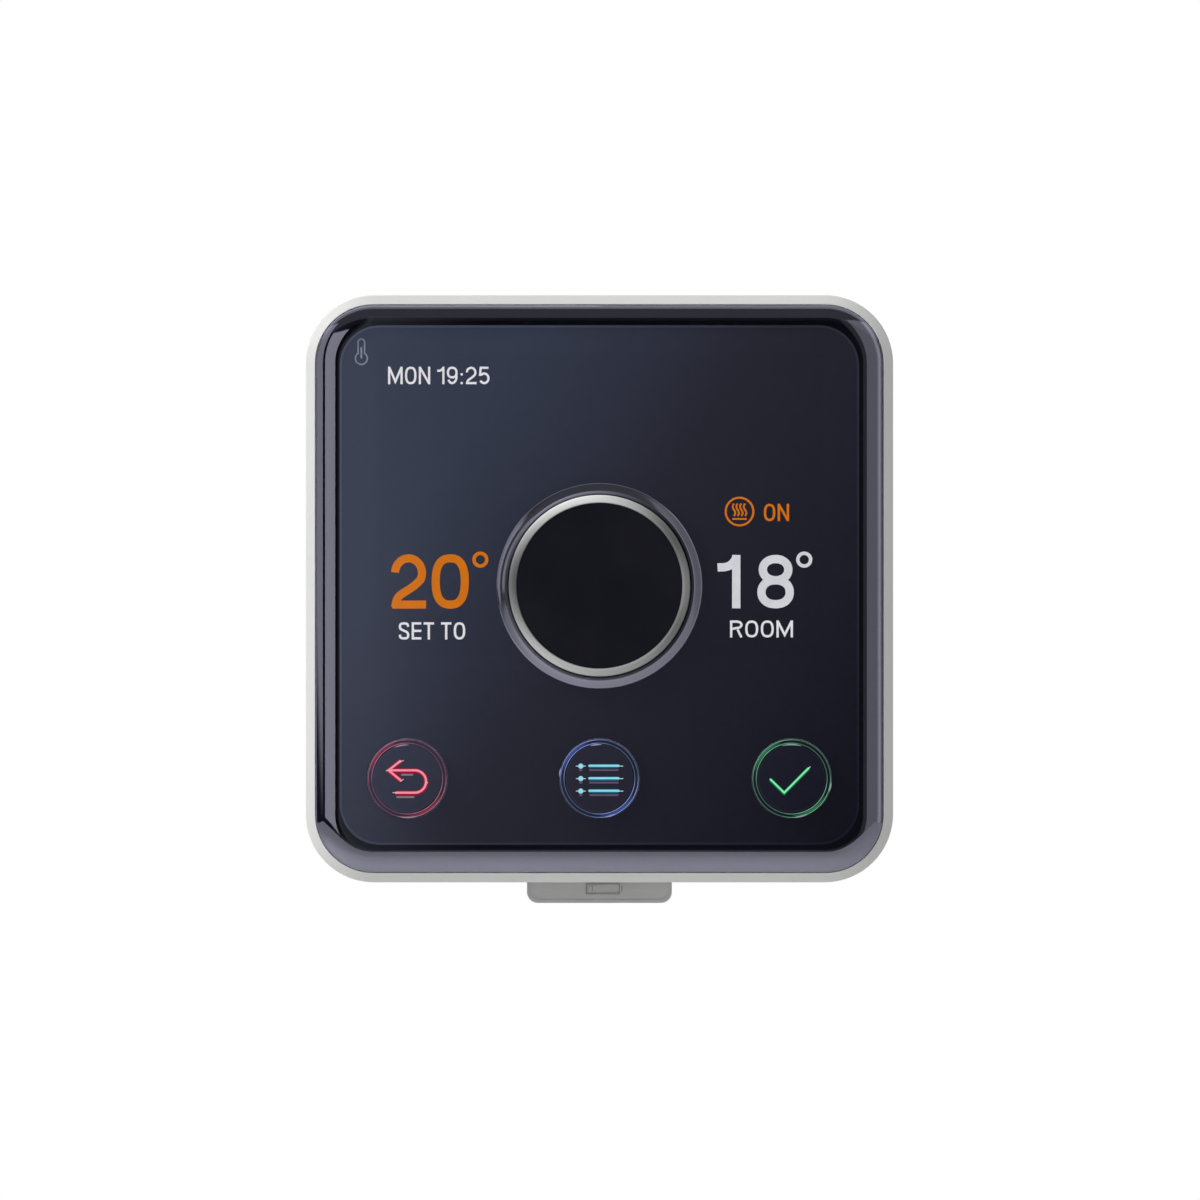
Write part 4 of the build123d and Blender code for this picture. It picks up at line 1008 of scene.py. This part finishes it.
def ghost_strokes(button_name):
    """The faint second image under a sign's level strokes, as the light guide's back face reflects it."""
    if button_name == "back":
        return [([(-1.0, 1.33 - GHOST_DROP), (1.0, 1.33 - GHOST_DROP)], False),
                ([(-1.8, -2.43 - GHOST_DROP), (1.2, -2.43 - GHOST_DROP)], False)]
    if button_name == "menu":
        bars = [([(-1.7, z - GHOST_DROP), (3.2, z - GHOST_DROP)], False) for z in MENU_ROWS]
        return bars + [([(-3.4, z - GHOST_DROP), (-2.86, z - GHOST_DROP)], False) for z in MENU_ROWS]
    return []


def spark_strokes(button_name):
    """Short bright glints at the ends of a sign's strokes."""
    if button_name == "back":
        return [([(-3.55, 1.33), (-2.7, 1.33)], False), ([(-1.25, 2.75), (-0.6, 3.05)], False),
                ([(-1.15, -0.5), (-0.6, -0.1)], False), ([(-2.45, -2.35), (-1.7, -2.4)], False),
                ([(3.0, -0.55), (3.5, -0.75)], False)]
    if button_name == "menu":
        ends = [([(-3.95, z), (-2.3, z)], False) for z in MENU_ROWS]
        return ends + [([(2.9, z), (4.0, z)], False) for z in MENU_ROWS]
    return [([(2.75, 1.65), (3.15, 2.0)], False)]


def crescent(name, spot, radius, middle_angle, spread, width, front, body, material):
    """A thin flat crescent of painted light along an arc, widest at its middle."""
    steps = 40
    outer, inner = [], []
    for step in range(steps + 1):
        share = step / steps
        angle = math.radians(middle_angle + spread * (share - 0.5))
        half = width / 2 * math.sin(math.pi * share) + 0.01 * MM
        for points, reach in ((outer, radius + half), (inner, radius - half)):
            points.append((spot.x + reach * math.cos(angle), spot.z + reach * math.sin(angle)))
    loop = outer + inner[::-1]
    flat_shape(name, [loop], front - 0.02 * MM, front, body, material)


def dark_face(name, gain):
    """The buttons' smoked plastic, which shows the same dark colour and painted reflection as the window
    beside it.
    """
    material = new_material(name, (0.02, 0.02, 0.03), 0.15, Specular_IOR_Level=0.2, Specular_Tint=MIRROR_TINT)
    polish = between(material, noise(material, 300.0, 2.0), 0.13, 0.2)
    link(material, polish, shader_of(material).inputs["Roughness"])
    painted_reflection_gradient(material, gain)
    return material


def build_button(button_name):
    """One button's face and light guide colours, its two fine rings with their glow, and its lit sign."""
    spot = BUTTONS[button_name]
    dull, bright, between_rings_highlight, sign_edge, sign_core_highlight = GLOWS[button_name]
    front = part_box(f"{button_name}_button")[0].y
    key = f"{button_name}_key"
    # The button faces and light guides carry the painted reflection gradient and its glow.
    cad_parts[f"{button_name}_button"].data.materials[0] = dark_face(f"{button_name}_face", 0.9)
    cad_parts[f"{button_name}_light_ring"].data.materials[0] = dark_face(f"{button_name}_guide", 0.8)
    line = lit_ring(f"{button_name}_line", dull, bright, spot, RING_HIGHLIGHT_ANGLE)
    for label, radius in (("inner_line", 5.96 * MM), ("outer_line", 6.52 * MM)):
        ring = [(superellipse(spot.x, spot.z, radius, radius, 2.0, 128), True)]
        beads(f"{button_name}_{label}", ring, 0.10 * MM, 0.03 * MM, front, "case", line)
    glow = lit(f"{button_name}_glow", between_rings_highlight)
    # The painted glints glow in a mix of white and the ring's bright colour.
    glint = lit(f"{button_name}_glint", [0.5 * (g + b) for g, b in zip(GLINT, bright)], 0.8)
    # Painted highlights: glowing crescents between the rings on their two bright sides.
    crescent(f"{button_name}_glow_upper", spot, 6.26 * MM, 138, 62, 0.22 * MM, front, "case", glow)
    crescent(f"{button_name}_glow_lower", spot, 6.26 * MM, 302, 62, 0.22 * MM, front, "case", glow)
    for index, (reach, direction, spread) in enumerate(GLINT_SPOTS[button_name], 1):
        rider = key if reach < 5.75 else "case"
        name = f"{button_name}_glint_{index}"
        crescent(name, spot, reach * MM, direction, spread, 0.22 * MM, front - 0.03 * MM, rider, glint)

    def placed(strokes, lift=0.0):
        rise = spot.z + lift * MM
        return [([(spot.x + x * MM, rise + z * MM) for x, z in path], closed) for path, closed in strokes]

    strokes, width = sign_strokes(button_name)
    edge = lit(f"{button_name}_sign_edge", sign_edge)
    # The sign's lighter middle is a painted highlight along its strokes.
    core = lit(f"{button_name}_sign_core_highlight", sign_core_highlight)
    raised = front - 0.10 * MM
    beads(f"{button_name}_sign", placed(strokes), width * MM, 0.12 * MM, front, key, edge)
    middles = placed(strokes, CORE_HIGHLIGHT_LIFT)
    beads(f"{button_name}_core", middles, 0.5 * width * MM, 0.05 * MM, raised, key, core)
    if ghost_strokes(button_name):
        ghost = lit(f"{button_name}_ghost", GHOSTS[button_name])
        ribbons(f"{button_name}_ghost", placed(ghost_strokes(button_name)), 0.3 * MM, front, 0.01 * MM, key,
                ghost)
    # The sparks glow as painted glints.
    spark = lit(f"{button_name}_spark", [0.5 * (c + 0.6) for c in sign_core_highlight])
    sparks = placed(spark_strokes(button_name))
    ribbons(f"{button_name}_spark", sparks, 0.13 * MM, raised, 0.06 * MM, key, spark)
    if button_name == "menu":
        x, radius = MENU_DOT
        for row, z in enumerate(MENU_ROWS, 1):
            centre = Vector((spot.x + x * MM, 0, spot.z + z * MM))
            rise = 0.13 * MM
            dome = [(radius * MM * k, front - rise * math.sqrt(1 - k**2)) for k in (1, 0.9, 0.7, 0.4)]
            profile = [(0, front), *dome, (0, front - rise)]
            lathe(f"menu_dot_{row}", centre, profile, key, core, 32, closed=False)


for button_name in BUTTONS:
    build_button(button_name)

# ------------------------------------------------------------------ battery tab


def build_tab_painted_shade():
    """Painted shade: dark lines in the corners of the tab's raised sign, a battery lying on its side."""
    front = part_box("battery_tab")[0].y
    x, z = 0.6 * MM, -50.95 * MM
    half_width, half_height = 2.78 * MM, 0.83 * MM
    body = [(x - half_width, z - half_height), (x + half_width, z - half_height),
            (x + half_width, z + half_height), (x - half_width, z + half_height)]
    nub = [(x + 3.2 * MM, z - 0.45 * MM), (x + 3.2 * MM, z + 0.45 * MM)]
    charge = [(x - 1.8 * MM, z - 0.4 * MM), (x - 1.8 * MM, z + 0.4 * MM)]
    strokes = [(body, True), (nub, False), (charge, False)]
    ribbons("tab_sign", strokes, 0.2 * MM, front, 0.01 * MM, "battery_drawer", tab_shade)


build_tab_painted_shade()

# ------------------------------------------------------------------ floor, light and camera

FLOOR_LEVEL = -0.6
FLOOR_HALF = 3.0
floor_mesh = bpy.data.meshes.new("floor")
turns = ((-1, -1), (1, -1), (1, 1), (-1, 1))
floor_corners = [(x * FLOOR_HALF, y * FLOOR_HALF, FLOOR_LEVEL) for x, y in turns]
floor_mesh.from_pydata(floor_corners, [], [(0, 1, 2, 3)])
floor = bpy.data.objects.new("floor", floor_mesh)
bpy.context.scene.collection.objects.link(floor)
floor_pale = plastic("floor_pale", (0.82, 0.82, 0.82), 0.8, grain=1500.0, depth=0.002 * MM, spread=0.01)
floor_mesh.materials.append(floor_pale)


PANEL_TURN = 73.0
STUDIO_LEVEL = 0.45


def build_world():
    """A white studio: bright strips on the left, a bright base, a softer right side and a dark front."""
    world = bpy.data.worlds.new("studio")
    bpy.context.scene.world = world
    world.use_nodes = True
    tree = world.node_tree
    tree.nodes.clear()

    def node(kind, **settings):
        made = tree.nodes.new(kind)
        for key, value in settings.items():
            setattr(made, key, value)
        return made

    def wire(value, socket):
        if isinstance(value, (int, float)):
            socket.default_value = value
        else:
            tree.links.new(value, socket)

    def maths(operation, first, second=0.0):
        made = node("ShaderNodeMath", operation=operation)
        wire(first, made.inputs[0])
        wire(second, made.inputs[1])
        return made.outputs[0]

    def rise(value, edge, soft):
        """0 below the edge, 1 above it, smooth over the soft width, in degrees."""
        made = node("ShaderNodeMapRange", interpolation_type="SMOOTHSTEP")
        wire(value, made.inputs["Value"])
        made.inputs["From Min"].default_value = edge - soft
        made.inputs["From Max"].default_value = edge + soft
        return made.outputs["Result"]

    def band(value, low, high, soft):
        return maths("SUBTRACT", rise(value, low, soft), rise(value, high, soft))

    place = node("ShaderNodeTexCoord")
    parts = node("ShaderNodeSeparateXYZ")
    tree.links.new(place.outputs["Generated"], parts.inputs["Vector"])
    degrees = 180 / math.pi
    towards = maths("MULTIPLY", parts.outputs["Y"], -1.0)
    azimuth = maths("MULTIPLY", maths("ARCTAN2", parts.outputs["X"], towards), degrees)
    elevation = maths("MULTIPLY", maths("ARCSINE", parts.outputs["Z"]), degrees)
    across = maths("ABSOLUTE", azimuth)
    left_side = maths("LESS_THAN", azimuth, 0.0)
    right_side = maths("SUBTRACT", 1.0, left_side)

    # A softbox on each side stands edge-on to the object, turned by PANEL_TURN from the camera's direction.
    # Along it is the tangent of the angle from its middle, rising towards the camera; up it is the height.
    from_middle = maths("MULTIPLY", maths("SUBTRACT", PANEL_TURN, across), 1 / degrees)
    ahead = maths("GREATER_THAN", maths("COSINE", from_middle), 0.1)
    along = maths("TANGENT", from_middle)
    climb = maths("TANGENT", maths("MULTIPLY", elevation, 1 / degrees))
    up = maths("DIVIDE", climb, maths("COSINE", from_middle))

    def softbox(side, near, far, foot, slant, head, soft, strength):
        """A panel between two angles from the camera, above a slanted foot and below a level head."""
        spans = sorted(math.tan(math.radians(PANEL_TURN - angle)) for angle in (near, far))
        shape = band(along, spans[0], spans[1], soft)
        lowest = maths("SUBTRACT", up, maths("MULTIPLY", along, slant))
        shape = maths("MULTIPLY", shape, rise(lowest, foot, soft))
        shape = maths("MULTIPLY", shape, maths("SUBTRACT", 1.0, rise(up, head, soft)))
        shape = maths("MULTIPLY", maths("MULTIPLY", shape, ahead), side)
        return maths("MULTIPLY", shape, strength)

    def add(*values):
        total = values[0]
        for value in values[1:]:
            total = maths("ADD", total, value)
        return total

    left_light = add(
        softbox(left_side, 12.4, 37.0, 0.043, -0.19, 0.573, 0.012, 1.6),
        softbox(left_side, 46.0, 97.0, -0.033, -0.04, 0.9, 0.02, 1.3),
        softbox(left_side, 3.0, 6.0, -0.6, 0.0, 1.5, 0.25, 0.2),
    )
    right_light = add(
        softbox(right_side, 11.5, 19.0, -1.2, 0.0, 1.03, 0.06, 0.14),
        softbox(right_side, 19.0, 97.0, -1.2, 0.0, 1.03, 0.05, 0.72),
        softbox(right_side, 52.0, 60.0, -1.2, 0.0, 1.03, 0.05, 0.45),
        softbox(right_side, 60.0, 76.0, -1.2, 0.0, 1.03, 0.05, 1.1),
        softbox(right_side, 76.0, 86.0, -1.2, 0.0, 1.03, 0.05, 0.6),
    )
    ceiling = maths("DIVIDE", maths("MULTIPLY", towards, rise(elevation, 3.0, 3.0)), parts.outputs["Z"])
    overhead = maths("SUBTRACT", 1.0, rise(ceiling, 0.42, 0.1))
    overhead = maths("MULTIPLY", maths("MULTIPLY", overhead, rise(elevation, 30.0, 10.0)), 0.95)
    middle_top = maths("MULTIPLY", rise(elevation, 27.0, 1.5), 0.2)
    low_edge = maths("ADD", elevation, maths("MULTIPLY", across, 0.15))
    floor_light = maths("MULTIPLY", maths("SUBTRACT", 1.0, rise(low_edge, -10.0, 6.0)), 1.26)
    # the floor's light falls away from left to right
    middle_loss = maths("MULTIPLY", rise(azimuth, 0.0, 8.0), 0.35)
    right_loss = maths("MULTIPLY", rise(azimuth, 20.0, 15.0), 0.3)
    kept = maths("SUBTRACT", 1.0, maths("ADD", middle_loss, right_loss))
    floor_light = maths("MULTIPLY", floor_light, kept)
    behind = maths("MULTIPLY", rise(across, 104.0, 8.0), maths("ADD", maths("MULTIPLY", left_side, 0.9), 0.5))
    light = add(left_light, right_light, overhead, middle_top, behind, 0.02)
    light = maths("MULTIPLY", maths("MAXIMUM", light, floor_light), STUDIO_LEVEL)

    studio = node("ShaderNodeBackground")
    studio.inputs["Color"].default_value = (1.0, 1.0, 1.0, 1.0)
    tree.links.new(light, studio.inputs["Strength"])
    plain = node("ShaderNodeBackground")
    plain.inputs["Color"].default_value = (1.0, 1.0, 1.0, 1.0)
    plain.inputs["Strength"].default_value = 1.0
    rays = node("ShaderNodeLightPath")
    chooser = node("ShaderNodeMixShader")
    output = node("ShaderNodeOutputWorld")
    tree.links.new(rays.outputs["Is Camera Ray"], chooser.inputs["Fac"])
    tree.links.new(studio.outputs["Background"], chooser.inputs[1])
    tree.links.new(plain.outputs["Background"], chooser.inputs[2])
    tree.links.new(chooser.outputs["Shader"], output.inputs["Surface"])


build_world()


def soft_light(name, azimuth, elevation, distance, size, power):
    """A square softbox that faces the thermostat, seen only by matt surfaces."""
    data = bpy.data.lights.new(name, "AREA")
    data.size = size
    data.energy = power
    lamp = bpy.data.objects.new(name, data)
    bpy.context.scene.collection.objects.link(lamp)
    turn, rise = math.radians(azimuth), math.radians(elevation)
    away = Vector((math.sin(turn) * math.cos(rise), -math.cos(turn) * math.cos(rise), math.sin(rise)))
    lamp.location = away * distance
    lamp.rotation_euler = away.to_track_quat("Z", "Y").to_euler()
    lamp.visible_glossy = False


soft_light("key", -57.0, 36.0, 1.2, 0.9, 15.0)

FRAME_WIDTH = 202.0 * MM
LENS_LENGTH = 135.0
SENSOR = 36.0
camera_data = bpy.data.cameras.new("camera")
camera_data.lens = LENS_LENGTH
camera_data.sensor_width = SENSOR
camera_data.clip_start = 0.05
camera = bpy.data.objects.new("camera", camera_data)
bpy.context.scene.collection.objects.link(camera)
camera.location = (0.1 * MM, trim_low.y - FRAME_WIDTH * LENS_LENGTH / SENSOR, -1.9 * MM)
camera.rotation_euler = (math.pi / 2, 0, 0)
bpy.context.scene.camera = camera
bpy.context.scene.view_settings.view_transform = "Standard"
